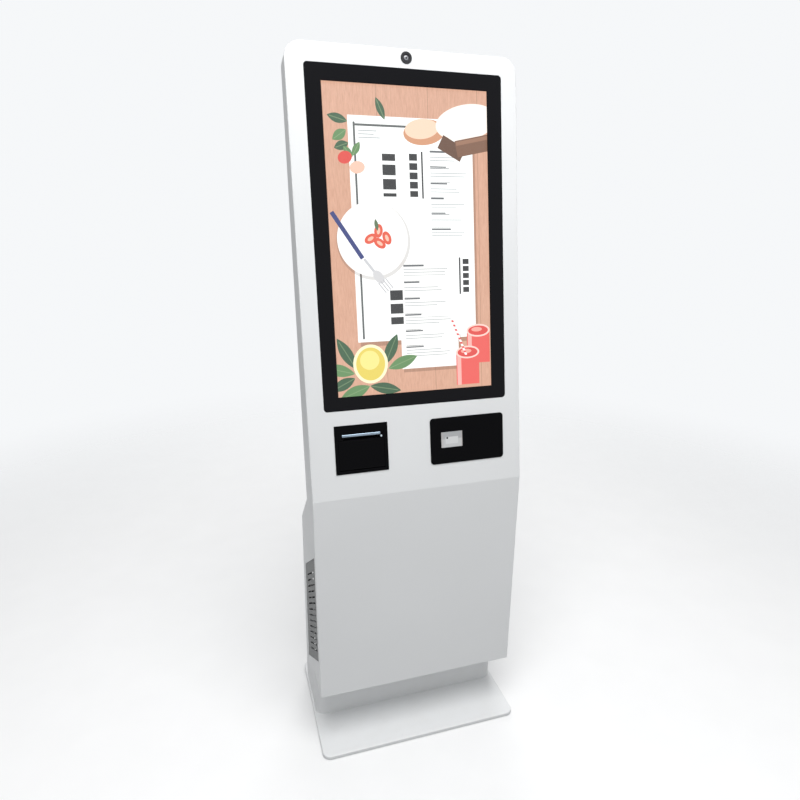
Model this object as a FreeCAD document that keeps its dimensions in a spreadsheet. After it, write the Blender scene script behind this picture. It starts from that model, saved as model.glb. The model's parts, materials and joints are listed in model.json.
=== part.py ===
"""Free-standing touchscreen kiosk: a steel cabinet on a floor plate, with a leaning display head.

Millimetres. X runs across the kiosk, the front faces -Y, +Z is up, and the origin lies in the
middle of the floor plate at floor level.
"""
import FreeCAD, Part

import math
import os
import re

import Sketcher

# ---------------------------------------------------------------------------------------
# Driving dimensions. Each one is a cell of the sheet "sizes" and is used by its name.
# ---------------------------------------------------------------------------------------
SIZES = {
    # floor plate
    "base_width": 566, "base_margin": 5.5, "base_depth": 384, "base_thickness": 10,
    "base_corner": 22, "base_round": 3,
    "foot_radius": 20, "foot_proud": 2, "foot_recess": 1, "foot_inset": 38,
    "anchor_across": 400, "anchor_along": 100, "anchor_start": 150, "anchor_radius": 6.5,
    "bolt_radius": 4, "bolt_head_radius": 6.5, "bolt_head_height": 5.3, "bolt_edge": 46,
    "bolt_first": 125, "bolt_pitch": 128, "bolt_sink": 1,
    # cabinet outline, measured back from the front skin's plane
    "body_width": 555, "front_setback": 50.4, "toe_height": 165, "toe_depth": 100,
    "bend_height": 750, "slope_drop": 36, "slope_fall": 114,
    "slab_depth": 105, "rear_depth_top": 230, "rear_depth_bottom": 282.4,
    "lean": 8.9, "head_length": 1040, "head_top_depth": 59, "head_corner": 38,
    # sheet metal
    "sheet": 2, "seam": 0.6, "bend_round": 12, "edge_round": 2.5,
    "head_return": 30, "panel_return": 12, "kick_return": 40, "kick_corner": 25,
    "flange": 24, "flange_drop": 5, "cavity_run": 5, "sill_height": 70, "sill_return": 20, "weld_gap": 0.3,
    "clearance": 0.5,
    # side grilles
    "grille_front": 16, "grille_top": 590, "grille_bottom": 272, "grille_slant": 35,
    "grille_margin": 42, "grille_gap": 0.5, "grille_lip": 8, "grille_sheet": 1.5, "grille_recess": 0.8,
    "grille_fall": 150, "slot_height": 5, "slot_pitch": 19, "slot_side": 20, "slot_start": 30,
    "slot_count": 14,
    # back cover of the head
    "vent_slot": 5, "vent_pitch": 10, "vent_rows": 8, "vent_top": 190, "vent_side": 60, "vent_width": 90,
    "cover_screw_radius": 4, "cover_screw_length": 7.2, "cover_screw_end": 70,
    # display
    "glass_width": 472, "glass_height": 778, "glass_bottom": 219, "glass_thickness": 4,
    "glass_corner": 8, "glass_gap": 0.8, "glass_sink": 0.3,
    "picture_width": 398.4, "picture_height": 708.4, "picture_bottom": 252.2,
    "gasket": 2, "gasket_inset": 1, "gasket_rim": 6, "screen_rim": 5, "screen_sheet": 2,
    "tray_rim": 13, "tray_depth": 16, "strap_width": 40, "strap_rise": 30, "strap_foot": 18,
    "driver_width": 150, "driver_height": 110, "upright_edge": 13.5, "upright_flange": 20,
    "upright_end": 20,
    # camera
    "camera_height": 1020.3, "camera_ring_radius": 13.4, "camera_barrel_radius": 10.8,
    "camera_window_radius": 8, "camera_ring_proud": 1.2,
    "camera_ring_chamfer": 0.4, "camera_window_proud": 0.5, "camera_box": 30, "camera_box_depth": 16,
    # ticket printer
    "printer_x": -149.5, "printer_s": 122.5, "printer_width": 133, "printer_height": 121,
    "bezel_proud": 1.5, "bezel_inset": 5, "bezel_depth": 12, "ticket_door_width": 115,
    "ticket_door_bottom": 70, "ticket_door_top": 146, "ticket_slot_width": 92,
    "ticket_slot_top": 154, "door_gap": 0.6, "ticket_door_depth": 8.5, "ticket_pivot_rise": 4.4,
    "tear_bar_width": 95, "tear_bar_height": 6, "tear_bar_proud": 0.8,
    "feed_x": -99.5, "feed_s": 150.2, "feed_radius": 2.4, "feed_proud": 1, "feed_gap": 0.35,
    "printer_case_depth": 78, "printer_wall": 1.5, "case_side": 4, "case_low": 9, "case_high": 16,
    "print_head_depth": 26, "roll_radius": 33, "roll_width": 80,
    "core_radius": 8.5, "spindle_radius": 6, "running_fit": 0.05,
    "roll_gap_low": 2, "roll_gap_front": 7, "roll_gap_back": 3.5,
    "platen_radius": 5, "platen_length": 84, "platen_shaft_radius": 2, "platen_s": 139.5,
    "platen_n": 15, "ear_thickness": 2,
    # reader
    "reader_x": 128.1, "reader_s": 120, "reader_width": 200.8, "reader_height": 119,
    "reader_corner": 9, "reader_inset": 6, "reader_boss": 8, "window_x": 85.5, "window_s": 122,
    "window_width": 57, "window_height": 40, "window_thickness": 3.5, "sensor_x": 73,
    "sensor_s": 126.5, "sensor_radius": 2.6, "reader_box_depth": 36,
    "reader_box_margin": 12,
    # equipment inside the cabinet
    "shelf_height": 300, "shelf_front": 32, "shelf_depth": 190, "shelf_lip": 18,
    "computer_width": 180, "computer_depth": 175, "computer_height": 50, "computer_x": -150,
    "supply_width": 160, "supply_depth": 98, "supply_height": 42, "supply_x": 120,
    "fin_start": 12, "fin_pitch": 14, "fin_gap": 5, "fin_depth": 5, "fin_count": 12,
    "supply_slot_start": 20, "supply_slot": 4, "supply_skin": 1.5,
    "equipment_front": 45, "button_radius": 5, "button_proud": 2, "button_depth": 6,
    "button_stop": 1.5, "button_gap": 0.4, "button_inset": 22,
    "speaker_height": 430, "speaker_depth": 90, "speaker_flange": 42, "speaker_basket_radius": 36,
    "speaker_magnet_radius": 24, "speaker_length": 44, "speaker_magnet": 14, "cone_radius": 30,
    "cone_sink": 12, "cone_thickness": 4,
    # cooling fan under the sloped panel
    "fan_size": 80, "fan_thickness": 25, "fan_bore_radius": 38, "fan_rotor_radius": 36.5,
    "fan_hub_radius": 15, "fan_place": 85, "slope_vent_width": 66, "fan_web": 2,
    "spoke_bite": 1, "blade_count": 7, "blade_start": 5, "blade_stop": 3, "blade_sheet": 2,
    "blade_half": 6,
    # rear door
    "rear_gap": 3, "door_return": 12, "hinge_radius": 5, "hinge_pin_radius": 3,
    "hinge_stand": 5.5, "hinge_half": 25, "hinge_first": 110, "hinge_pitch": 320, "leaf_width": 22,
    "hinge_edge": 1.5, "hinge_gap": 0.2, "pin_short": 1, "louvre_top": 100, "louvre_bottom": 60,
    "louvre_rows": 5, "louvre_pitch": 110, "louvre_width": 80,
    "lock_x": 225, "lock_z": 272, "lock_flange_radius": 13, "lock_body_radius": 9.5,
    "lock_plug_radius": 6.5, "lock_depth": 20, "cam_length": 42, "cam_width": 14,
    "cam_thickness": 2.5, "plug_proud": 0.5, "key_depth": 6, "key_width": 2, "key_height": 8,
    "keeper_height": 50, "keeper_reach": 20,
    # mains inlet in the sill
    "inlet_x": 140, "inlet_rise": 34.3, "inlet_flange_width": 76, "inlet_flange_height": 38,
    "inlet_body_width": 64, "inlet_body_height": 28, "inlet_body_depth": 32, "inlet_rim": 2.5,
    "socket_x": -14, "socket_width": 25, "socket_height": 17, "socket_depth": 17,
    "rocker_x": 19, "rocker_width": 13, "rocker_half": 9.6, "rocker_well_half": 10.6,
    "rocker_well": 12, "rocker_tilt": 7, "rocker_pivot": 3, "rocker_lip": 1.5, "rocker_dip": 0.3,
    "rocker_root": 5, "rocker_root_half": 6, "rocker_pin_radius": 1.5,
    "prong_spread": 7, "prong_low": 2, "prong_high": 4, "prong_width": 2, "prong_height": 4, "prong_sink": 3,
}

doc = FreeCAD.newDocument("touchscreen_kiosk")
sheet = doc.addObject("Spreadsheet::Sheet", "sizes")
for row, (alias, size) in enumerate(SIZES.items(), 1):
    sheet.set("A%d" % row, str(size))
    sheet.setAlias("A%d" % row, alias)
doc.recompute()

# ---------------------------------------------------------------------------------------
# Derived places, written as formulas on the driving dimensions.
# ---------------------------------------------------------------------------------------
BASE_TOP = "(foot_proud + base_thickness)"
BASE_HALF = "(max(base_width; body_width + 2 * base_margin) / 2)"
SLOPE_TOP = "(bend_height - slope_drop)"
SLOPE_BOTTOM = "(bend_height - slope_drop - slope_fall)"
FRONT = "(front_setback - base_depth / 2)"
HALF = "(body_width / 2)"
INSIDE = "(body_width / 2 - sheet)"
REAR_FALL = "(slope_bottom - %s)" % BASE_TOP
REAR_LEAN = "(atan((rear_depth_bottom - rear_depth_top) / %s) / 1 deg)" % REAR_FALL
REAR_LENGTH = "(%s / cos(%s))" % (REAR_FALL, REAR_LEAN)
CASE_FLOOR = "(ticket_door_bottom - case_low + case_side)"
ROLL_S = "(%s + roll_gap_low + roll_radius)" % CASE_FLOOR
ROLL_N = "(bezel_depth + roll_gap_front + roll_radius)"
ROLL_SPACE = "(roll_gap_front + 2 * roll_radius + roll_gap_back + printer_wall)"
INLET_Z = "(inlet_rise - %s)" % REAR_LENGTH
SLOPE_RUN = "(rear_depth_top - slab_depth)"
SLOPE_LEAN = "(atan(%s / slope_fall) / 1 deg)" % SLOPE_RUN
BACK_N = "(slab_depth * cos(lean) + slope_drop * sin(lean))"
BACK_S = "(slab_depth * sin(lean) - slope_drop * cos(lean))"
BACK_TAPER = "((%s - head_top_depth) / (head_length - %s))" % (BACK_N, BACK_S)
BACK_LEAN = "(lean - atan(%s) / 1 deg)" % BACK_TAPER
GLASS_BACK = "(glass_sink + glass_thickness)"
SCREEN_FRONT = "(%s + gasket)" % GLASS_BACK
TRAY_BACK = "(%s + tray_depth)" % SCREEN_FRONT
LEAF_X = "(%s - flange - hinge_edge)" % HALF

# A frame is a place on the kiosk's middle plane and a turn about X, as formulas.
WORLD = ("0", "0", "0")
CABINET = (FRONT, "0", "0")
HEAD = (FRONT, "bend_height", "-lean")
REAR = ("%s + rear_depth_top" % FRONT, "slope_bottom", REAR_LEAN)
SLOPE = ("%s + rear_depth_top" % FRONT, "slope_bottom", SLOPE_LEAN)
BACK = ("%s + slab_depth" % FRONT, "slope_top", "-%s" % BACK_LEAN)

PLANES = {"XY": "XY_Plane", "XZ": "XZ_Plane", "YZ": "YZ_Plane"}
START_RING = 1000
TOUCH = 0.01
subparts = []


def bound(formula):
    """The formula with every alias pointed at the sheet; functions and degrees stay as they are."""
    formula = str(formula).replace("slope_top", SLOPE_TOP).replace("slope_bottom", SLOPE_BOTTOM)
    return re.sub(r"\b(?!deg\b)([a-z]\w*)\b(?!\()", r"sizes.\1", formula)


def back_n(height, inset="0"):
    """Depth of the head's back plane, square to the front skin, at a height up the head."""
    return "(%s - %s * (%s - %s) - %s)" % (BACK_N, BACK_TAPER, height, BACK_S, inset)


def rear_y(height, inset="0"):
    """Depth of the cabinet's rear plane behind the front skin, at a height above the floor."""
    return "(rear_depth_top + (slope_bottom - %s) * tan(%s) - %s)" % (height, REAR_LEAN, inset)


def seat(obj, frame, x="0", y="0", z="0", turn="0"):
    """Place an object at a point of a frame, turned with the frame and by its own turn about X."""
    base_y, base_z, lean = frame
    angle = "(%s + %s)" % (lean, turn)
    place_y, place_z = base_y, base_z
    if (y, z) != ("0", "0"):
        place_y = "%s + (%s) * cos(%s) - (%s) * sin(%s)" % (base_y, y, lean, z, lean)
        place_z = "%s + (%s) * sin(%s) + (%s) * cos(%s)" % (base_z, y, lean, z, lean)
    formula = "placement(vector(%s; %s; %s); rotation(vector(1; 0; 0); %s))"
    obj.setExpression("Placement", bound(formula % (x, place_y, place_z, angle)))


def piece(name, frame=None, keep=True, **place):
    """A new body; the kept ones are the kiosk's sub-parts."""
    body = doc.addObject("PartDesign::Body", name + "_body")
    body.Label = name
    body.AllowCompound = True
    if frame is not None:
        seat(body, frame, **place)
    if keep:
        subparts.append(body)
    return body


def sketch_on(body, plane, start):
    """An empty sketch on one of the body's origin planes, lifted to the start coordinate."""
    sketch = body.newObject("Sketcher::SketchObject", body.Label + "_sketch")
    origin = [part for part in body.Origin.OriginFeatures if part.Role == PLANES[plane]][0]
    sketch.AttachmentSupport = (origin, [""])
    sketch.MapMode = "FlatFace"
    lift = "-(%s)" % start if plane == "XZ" else start
    sketch.setExpression("AttachmentOffset.Base.z", bound(lift))
    return sketch


def tie(sketch, kind, first, place, start, formula):
    """One driven distance of a sketch point from the sketch's origin."""
    index = sketch.addConstraint(Sketcher.Constraint(kind, -1, 1, first, place, start))
    sketch.setExpression("Constraints[%d]" % index, bound(formula))


def draw_polygon(sketch, points):
    """A closed outline whose corners are each tied to the sheet in both directions."""
    count = len(points)
    first = sketch.GeometryCount
    turn = 2 * math.pi / count
    ring = [FreeCAD.Vector(START_RING * math.cos(turn * k), START_RING * math.sin(turn * k), 0)
            for k in range(count)]
    for k in range(count):
        sketch.addGeometry(Part.LineSegment(ring[k], ring[(k + 1) % count]), False)
    for k in range(count):
        joined = first + (k + 1) % count
        sketch.addConstraint(Sketcher.Constraint("Coincident", first + k, 2, joined, 1))
    for k, (across, up) in enumerate(points):
        tie(sketch, "DistanceX", first + k, 1, ring[k].x, across)
        tie(sketch, "DistanceY", first + k, 1, ring[k].y, up)


def draw_circle(sketch, across, up, radius):
    """A circle whose centre and radius are tied to the sheet."""
    centre = FreeCAD.Vector(1, 1, 0)
    index = sketch.addGeometry(Part.Circle(centre, FreeCAD.Vector(0, 0, 1), 1), False)
    tie(sketch, "DistanceX", index, 3, 1, across)
    tie(sketch, "DistanceY", index, 3, 1, up)
    radius_tie = sketch.addConstraint(Sketcher.Constraint("Radius", index, 1))
    sketch.setExpression("Constraints[%d]" % radius_tie, bound(radius))


def draw(body, plane, start, shapes):
    """A sketch of polygons (lists of points) and circles (x, y, radius)."""
    sketch = sketch_on(body, plane, start)
    for shape in shapes:
        if isinstance(shape, tuple):
            draw_circle(sketch, *shape)
        else:
            draw_polygon(sketch, shape)
    return sketch


def rectangle(low_x, high_x, low_y, high_y):
    """Four corners of an upright rectangle."""
    return [(low_x, low_y), (high_x, low_y), (high_x, high_y), (low_x, high_y)]


def centred(centre_x, centre_y, width, height):
    """Four corners of a rectangle about a centre."""
    return rectangle("%s - %s / 2" % (centre_x, width), "%s + %s / 2" % (centre_x, width),
                     "%s - %s / 2" % (centre_y, height), "%s + %s / 2" % (centre_y, height))


def add(body, plane, start, end, shapes):
    """Pad shapes from the start to the end coordinate along the plane's axis."""
    pad = body.newObject("PartDesign::Pad", body.Label + "_pad")
    pad.Profile = draw(body, plane, start, shapes)
    pad.setExpression("Length", bound("(%s) - (%s)" % (end, start)))
    pad.Reversed = plane == "XZ"
    doc.recompute()
    return pad


def cut(body, plane, start, end, shapes):
    """Pocket shapes from the start to the end coordinate; stops if nothing is removed."""
    before = body.Shape.Volume
    pocket = body.newObject("PartDesign::Pocket", body.Label + "_pocket")
    pocket.Profile = draw(body, plane, start, shapes)
    pocket.setExpression("Length", bound("(%s) - (%s)" % (end, start)))
    pocket.Reversed = plane != "XZ"
    doc.recompute()
    if body.Shape.Volume >= before - TOUCH:
        raise ValueError("%s: a pocket removed nothing" % body.Label)
    return pocket


def ends(edge):
    """The two end points of an edge."""
    return [vertex.Point for vertex in edge.Vertexes]


def along(edge, direction):
    """True for a straight edge that runs along the direction."""
    if edge.Curve.TypeId != "Part::GeomLine" or len(edge.Vertexes) != 2:
        return False
    run = ends(edge)[1] - ends(edge)[0]
    return abs(run.normalize() * direction) > 1 - 1e-6


def soften(body, kind, size, chosen):
    """Fillet or chamfer the tip's edges that the chosen test picks."""
    base = body.Tip
    names = ["Edge%d" % (k + 1) for k, edge in enumerate(base.Shape.Edges) if chosen(edge)]
    if not names:
        raise ValueError("%s: no edge to soften" % body.Label)
    feature = body.newObject("PartDesign::" + kind, body.Label + "_" + kind.lower())
    feature.Base = (base, names)
    feature.setExpression("Radius" if kind == "Fillet" else "Size", bound(size))
    doc.recompute()
    if "Invalid" in feature.State:
        raise ValueError("%s: %s failed, %s" % (body.Label, kind, feature.getStatusString()))
    return feature


X_AXIS = FreeCAD.Vector(1, 0, 0)
Y_AXIS = FreeCAD.Vector(0, 1, 0)
Z_AXIS = FreeCAD.Vector(0, 0, 1)


def combine(kind, name, first, second, keep=True):
    """A boolean of two objects as a sub-part or as a tool."""
    result = doc.addObject("Part::" + kind, name + "_" + kind.lower())
    result.Label = name
    result.Base = first
    result.Tool = second
    if keep:
        subparts.append(result)
    doc.recompute()
    return result


def tray(name, outline, inner_outline):
    """A welded sheet tray: a solid of the outline less a cavity of the inner outline."""
    pair = []
    for part, points, inset in (("outer", outline, "0"), ("cavity", inner_outline, "sheet")):
        body = piece("%s_%s" % (name, part), CABINET, keep=False)
        half = "(%s - %s)" % (HALF, inset)
        add(body, "YZ", "-%s" % half, half, [points])
        top = max(vertex.Point.z for vertex in body.Shape.Vertexes)
        bottom = top - sheet.head_return * math.sin(math.radians(sheet.lean))
        side = max(vertex.Point.x for vertex in body.Shape.Vertexes)

        def top_corner(edge):
            outside = all(abs(abs(p.x) - side) < TOUCH and p.z > bottom - sheet.head_corner / 2
                          for p in ends(edge))
            return outside and not along(edge, X_AXIS)
        soften(body, "Fillet", "head_corner - %s" % inset, top_corner)
        pair.append(body)
    return pair


def build_base():
    """Floor plate on four rubber pads, with floor anchor holes and the cabinet's bolts."""
    base = piece("base_plate", WORLD)
    half_width, half_depth = BASE_HALF, "base_depth / 2"
    outline = rectangle("-" + half_width, half_width, "-" + half_depth, half_depth)
    add(base, "XY", "foot_proud", BASE_TOP, [outline])
    soften(base, "Fillet", "base_corner", lambda edge: along(edge, Z_AXIS))
    top = sheet.foot_proud + sheet.base_thickness
    soften(base, "Fillet", "base_round", lambda edge: all(abs(p.z - top) < TOUCH for p in ends(edge)))
    pads = []
    for side in ("-", ""):
        for end in ("-", ""):
            pads.append(("%s(%s - foot_inset)" % (side, half_width),
                         "%s(%s - foot_inset)" % (end, half_depth), "foot_radius"))
    cut(base, "XY", "foot_proud", "foot_proud + foot_recess", pads)
    anchors = []
    bolts = []
    for side in ("-", ""):
        for step in (0, 1):
            place = "%s + anchor_start + %d * anchor_along" % (FRONT, step)
            anchors.append(("%sanchor_across / 2" % side, place, "anchor_radius"))
            place = "%s + bolt_first + %d * bolt_pitch" % (FRONT, step)
            bolts.append(("%s(%s - bolt_edge)" % (side, HALF), place, "bolt_radius"))
    cut(base, "XY", "foot_proud", BASE_TOP, anchors + bolts)
    feet = piece("foot_pads", WORLD)
    add(feet, "XY", "0", "foot_proud + foot_recess", pads)

    pan = piece("floor_pan", WORLD)
    front = "%s + toe_depth + sheet + weld_gap" % FRONT
    back = "%s + %s" % (FRONT, rear_y(BASE_TOP, "2 * sheet + weld_gap"))
    side = "(%s - flange)" % HALF
    add(pan, "XY", BASE_TOP, BASE_TOP + " + sheet", [rectangle("-" + side, side, front, back)])
    cut(pan, "XY", BASE_TOP, BASE_TOP + " + sheet", anchors + bolts)

    screws = piece("base_bolts", WORLD)
    shanks = [(x, y, "bolt_radius") for x, y, radius in bolts]
    heads = [(x, y, "bolt_head_radius") for x, y, radius in bolts]
    add(screws, "XY", "foot_proud + bolt_sink", BASE_TOP + " + sheet", shanks)
    add(screws, "XY", BASE_TOP + " + sheet", BASE_TOP + " + sheet + bolt_head_height", heads)
    rim = BASE_TOP + " + sheet + bolt_head_height / 2"
    hexes = [(x, y, "bolt_head_radius / 2") for x, y, radius in bolts]
    cut(screws, "XY", rim, BASE_TOP + " + sheet + bolt_head_height", hexes)


def head_tools(name):
    """Everything that passes through the head's front skin."""
    tools = piece(name, HEAD, keep=False)
    depth = "2 * sheet"
    window = rectangle("-(glass_width / 2 + glass_gap)", "glass_width / 2 + glass_gap",
                       "glass_bottom - glass_gap", "glass_bottom + glass_height + glass_gap")
    add(tools, "XZ", "-sheet", depth, [window])
    soften(tools, "Fillet", "glass_corner + glass_gap", lambda edge: along(edge, Y_AXIS))
    hole = centred("printer_x", "printer_s", "(printer_width - 2 * bezel_inset)",
                   "(printer_height - 2 * bezel_inset)")
    add(tools, "XZ", "-sheet", depth, [hole])
    hole = centred("reader_x", "reader_s", "(reader_width - 2 * reader_inset)",
                   "(reader_height - 2 * reader_inset)")
    add(tools, "XZ", "-sheet", depth, [hole])
    add(tools, "XZ", "-sheet", depth, [("0", "camera_height", "camera_barrel_radius")])
    return tools


def head_point(n, s):
    """Cabinet coordinates of a point n behind the front skin and s up from the bend."""
    return ("%s * cos(lean) + %s * sin(lean)" % (n, s),
            "bend_height - %s * sin(lean) + %s * cos(lean)" % (n, s))


def head_at_height(n, height):
    """The cabinet point n behind the front skin, at a height above the floor."""
    return ("(%s + (%s - bend_height) * sin(lean)) / cos(lean)" % (n, height), height)


def build_front_panel():
    """One bent skin: upright below the bend, leaning above it, with returns at its edges."""
    outline = [("0", "toe_height"), ("0", "bend_height"), head_point("0", "head_length"),
               head_point("head_return", "head_length"), head_at_height("head_return", "slope_top"),
               ("panel_return", "slope_top"), ("panel_return", "toe_height")]
    deep = "2 * head_return"
    inner = [("sheet", "toe_height + sheet"), head_point("sheet", "0"),
             head_point("sheet", "(head_length - sheet)"), head_point(deep, "(head_length - sheet)"),
             head_at_height(deep, "slope_top"), (deep, "toe_height + sheet")]
    outer, cavity = tray("front_panel", outline, inner)
    bend = sheet.bend_height

    def fold(edge):
        return along(edge, X_AXIS) and all(abs(p.y) < TOUCH and abs(p.z - bend) < TOUCH for p in ends(edge))
    soften(outer, "Fillet", "bend_round", fold)
    lean = math.radians(sheet.lean)
    face_normal = FreeCAD.Vector(0, math.cos(lean), -math.sin(lean))
    origin = FreeCAD.Vector(0, 0, bend)

    def front_rim(edge):
        if along(edge, X_AXIS) and all(abs(p.z - bend) < 2 * sheet.bend_round for p in ends(edge)):
            return False
        return all(min(abs((p - origin) * face_normal), abs(p.y)) < TOUCH for p in ends(edge))
    soften(outer, "Fillet", "edge_round", front_rim)
    tools = combine("Fuse", "front_tools", cavity, head_tools("front_holes"), keep=False)
    return combine("Cut", "front_panel", outer, tools)


def build_head_back():
    """Tapered back cover of the head, with vent slots and screw holes."""
    first = "(head_return + seam)"
    outline = [head_at_height(first, "slope_top"), ("slab_depth", "slope_top"),
               head_point("head_top_depth", "head_length"), head_point(first, "head_length")]
    below = "(slope_top - cavity_run)"
    skin_y = "slab_depth - cavity_run * tan(%s) - sheet / cos(%s)" % (BACK_LEAN, BACK_LEAN)
    inner = [head_at_height("0", below), (skin_y, below),
             head_point(back_n("(head_length - sheet)", "sheet"), "(head_length - sheet)"),
             head_point("0", "(head_length - sheet)")]
    outer, cavity = tray("head_back", outline, inner)
    holes = piece("head_back_holes", BACK, keep=False)
    vents = []
    for row in range(int(sheet.vent_rows)):
        for side in (-1, 1):
            height = "(head_length - vent_top + %d * vent_pitch)" % row
            vents.append(centred("(%d * vent_side)" % side, height, "vent_width", "vent_slot"))
    shanks = [(x, z, "cover_screw_radius / 2") for x, z in cover_screw_places()]
    add(holes, "XZ", "-3 * sheet", "2 * sheet", vents)
    add(holes, "XZ", "-3 * sheet", "2 * sheet", shanks)
    tools = combine("Fuse", "head_back_tools", cavity, holes, keep=False)
    combine("Cut", "head_back", outer, tools)

    screws = piece("cover_screws", BACK)
    add(screws, "XZ", "-cover_screw_length", "0", shanks)
    add(screws, "XZ", "0", "sheet", [(x, z, "cover_screw_radius") for x, z in cover_screw_places()])
    cut(screws, "XZ", "sheet / 2", "sheet", shanks)


def cover_screw_places():
    """Screws up both edges of the head's back cover, in the back plane."""
    places = []
    for side in ("-", ""):
        for step in range(4):
            places.append(("%s(%s - upright_edge - upright_flange / 2)" % (side, INSIDE),
                           "(cover_screw_end + %d * (head_length - 2 * cover_screw_end) / 3)" % step))
    return places


def build_uprights():
    """Two wedge-shaped channels that tie the front skin to the back cover."""
    body = piece("head_uprights", HEAD)
    low, high = "upright_end", "(head_length - upright_end)"
    near = "(sheet + weld_gap)"
    clear = "(sheet + 2 * weld_gap)"
    inner = "(2 * sheet + 2 * weld_gap)"
    edge = "(%s - upright_edge)" % INSIDE
    web = [(near, low), (near, high), (back_n(high, clear), high), (back_n(low, clear), low)]
    lip = [(back_n(low, inner), low), (back_n(low, clear), low),
           (back_n(high, clear), high), (back_n(high, inner), high)]
    for side in (-1, 1):
        start, end = side_span(side, edge + " - sheet", edge)
        add(body, "YZ", start, end, [web])
        start, end = side_span(side, edge + " - upright_flange", edge)
        add(body, "YZ", start, end, [lip])


def side_span(side, near, far):
    """Start and end along X between two distances from the middle, on one side."""
    if side > 0:
        return near, far
    return "-(%s)" % far, "-(%s)" % near


def grille_outline(grow):
    """The slanted grille's outline, grown by a distance."""
    up = "((%s) / cos(grille_slant))" % grow
    fall = "(tan(grille_slant) * (%s))"
    front = "(grille_front - (%s))" % grow
    top_rear = rear_y("(grille_top - grille_fall)", "(grille_margin - (%s))" % grow)
    low_rear = rear_y("(grille_bottom - grille_fall)", "(grille_margin - (%s))" % grow)
    return [(front, "grille_bottom - %s - %s" % (up, fall % ("%s - grille_front" % front))),
            (front, "grille_top + %s - %s" % (up, fall % ("%s - grille_front" % front))),
            (top_rear, "grille_top + %s - %s" % (up, fall % ("%s - grille_front" % top_rear))),
            (low_rear, "grille_bottom - %s - %s" % (up, fall % ("%s - grille_front" % low_rear)))]


def build_sides():
    """Side plates with a folded rear flange, each with a slanted grille let into it."""
    plate = [("panel_return + seam", "toe_height"), ("panel_return + seam", "slope_top - seam"),
             ("slab_depth - seam", "slope_top - seam"), ("rear_depth_top", "slope_bottom"),
             ("rear_depth_bottom", BASE_TOP), ("toe_depth + kick_return + seam", BASE_TOP),
             ("toe_depth + kick_return + seam", "toe_height")]
    fold_top = "(slope_bottom - flange_drop)"
    thick = "(sheet / cos(%s))" % REAR_LEAN
    fold = [(rear_y(fold_top), fold_top), ("rear_depth_bottom", BASE_TOP),
            ("rear_depth_bottom - %s" % thick, BASE_TOP), (rear_y(fold_top, thick), fold_top)]
    for name, side in (("left", -1), ("right", 1)):
        body = piece(name + "_side_plate", CABINET)
        start, end = side_span(side, INSIDE, HALF)
        add(body, "YZ", start, end, [plate])
        fold_start, fold_end = side_span(side, HALF + " - flange", HALF)
        add(body, "YZ", fold_start, fold_end, [fold])
        cut(body, "YZ", start, end, [grille_outline("0")])

        grille = piece(name + "_side_grille", CABINET)
        lip_start, lip_end = side_span(side, INSIDE + " - grille_sheet", INSIDE)
        add(grille, "YZ", lip_start, lip_end, [grille_outline("grille_lip")])
        face_start, face_end = side_span(side, INSIDE, HALF + " - grille_recess")
        add(grille, "YZ", face_start, face_end, [grille_outline("-grille_gap")])
        slots = []
        fall = "tan(grille_slant) * (%s - grille_front)"
        left = "(grille_front + slot_side)"
        right = "(rear_depth_top - grille_margin - slot_side)"
        for step in range(int(sheet.slot_count)):
            level = "(grille_bottom + slot_start + %d * slot_pitch)" % step
            slots.append([(left, "%s - %s" % (level, fall % left)),
                          (right, "%s - %s" % (level, fall % right)),
                          (right, "%s - %s + slot_height" % (level, fall % right)),
                          (left, "%s - %s + slot_height" % (level, fall % left))])
        slot_start, slot_end = side_span(side, INSIDE + " - grille_sheet", HALF + " - grille_recess")
        cut(grille, "YZ", slot_start, slot_end, slots)


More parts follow.
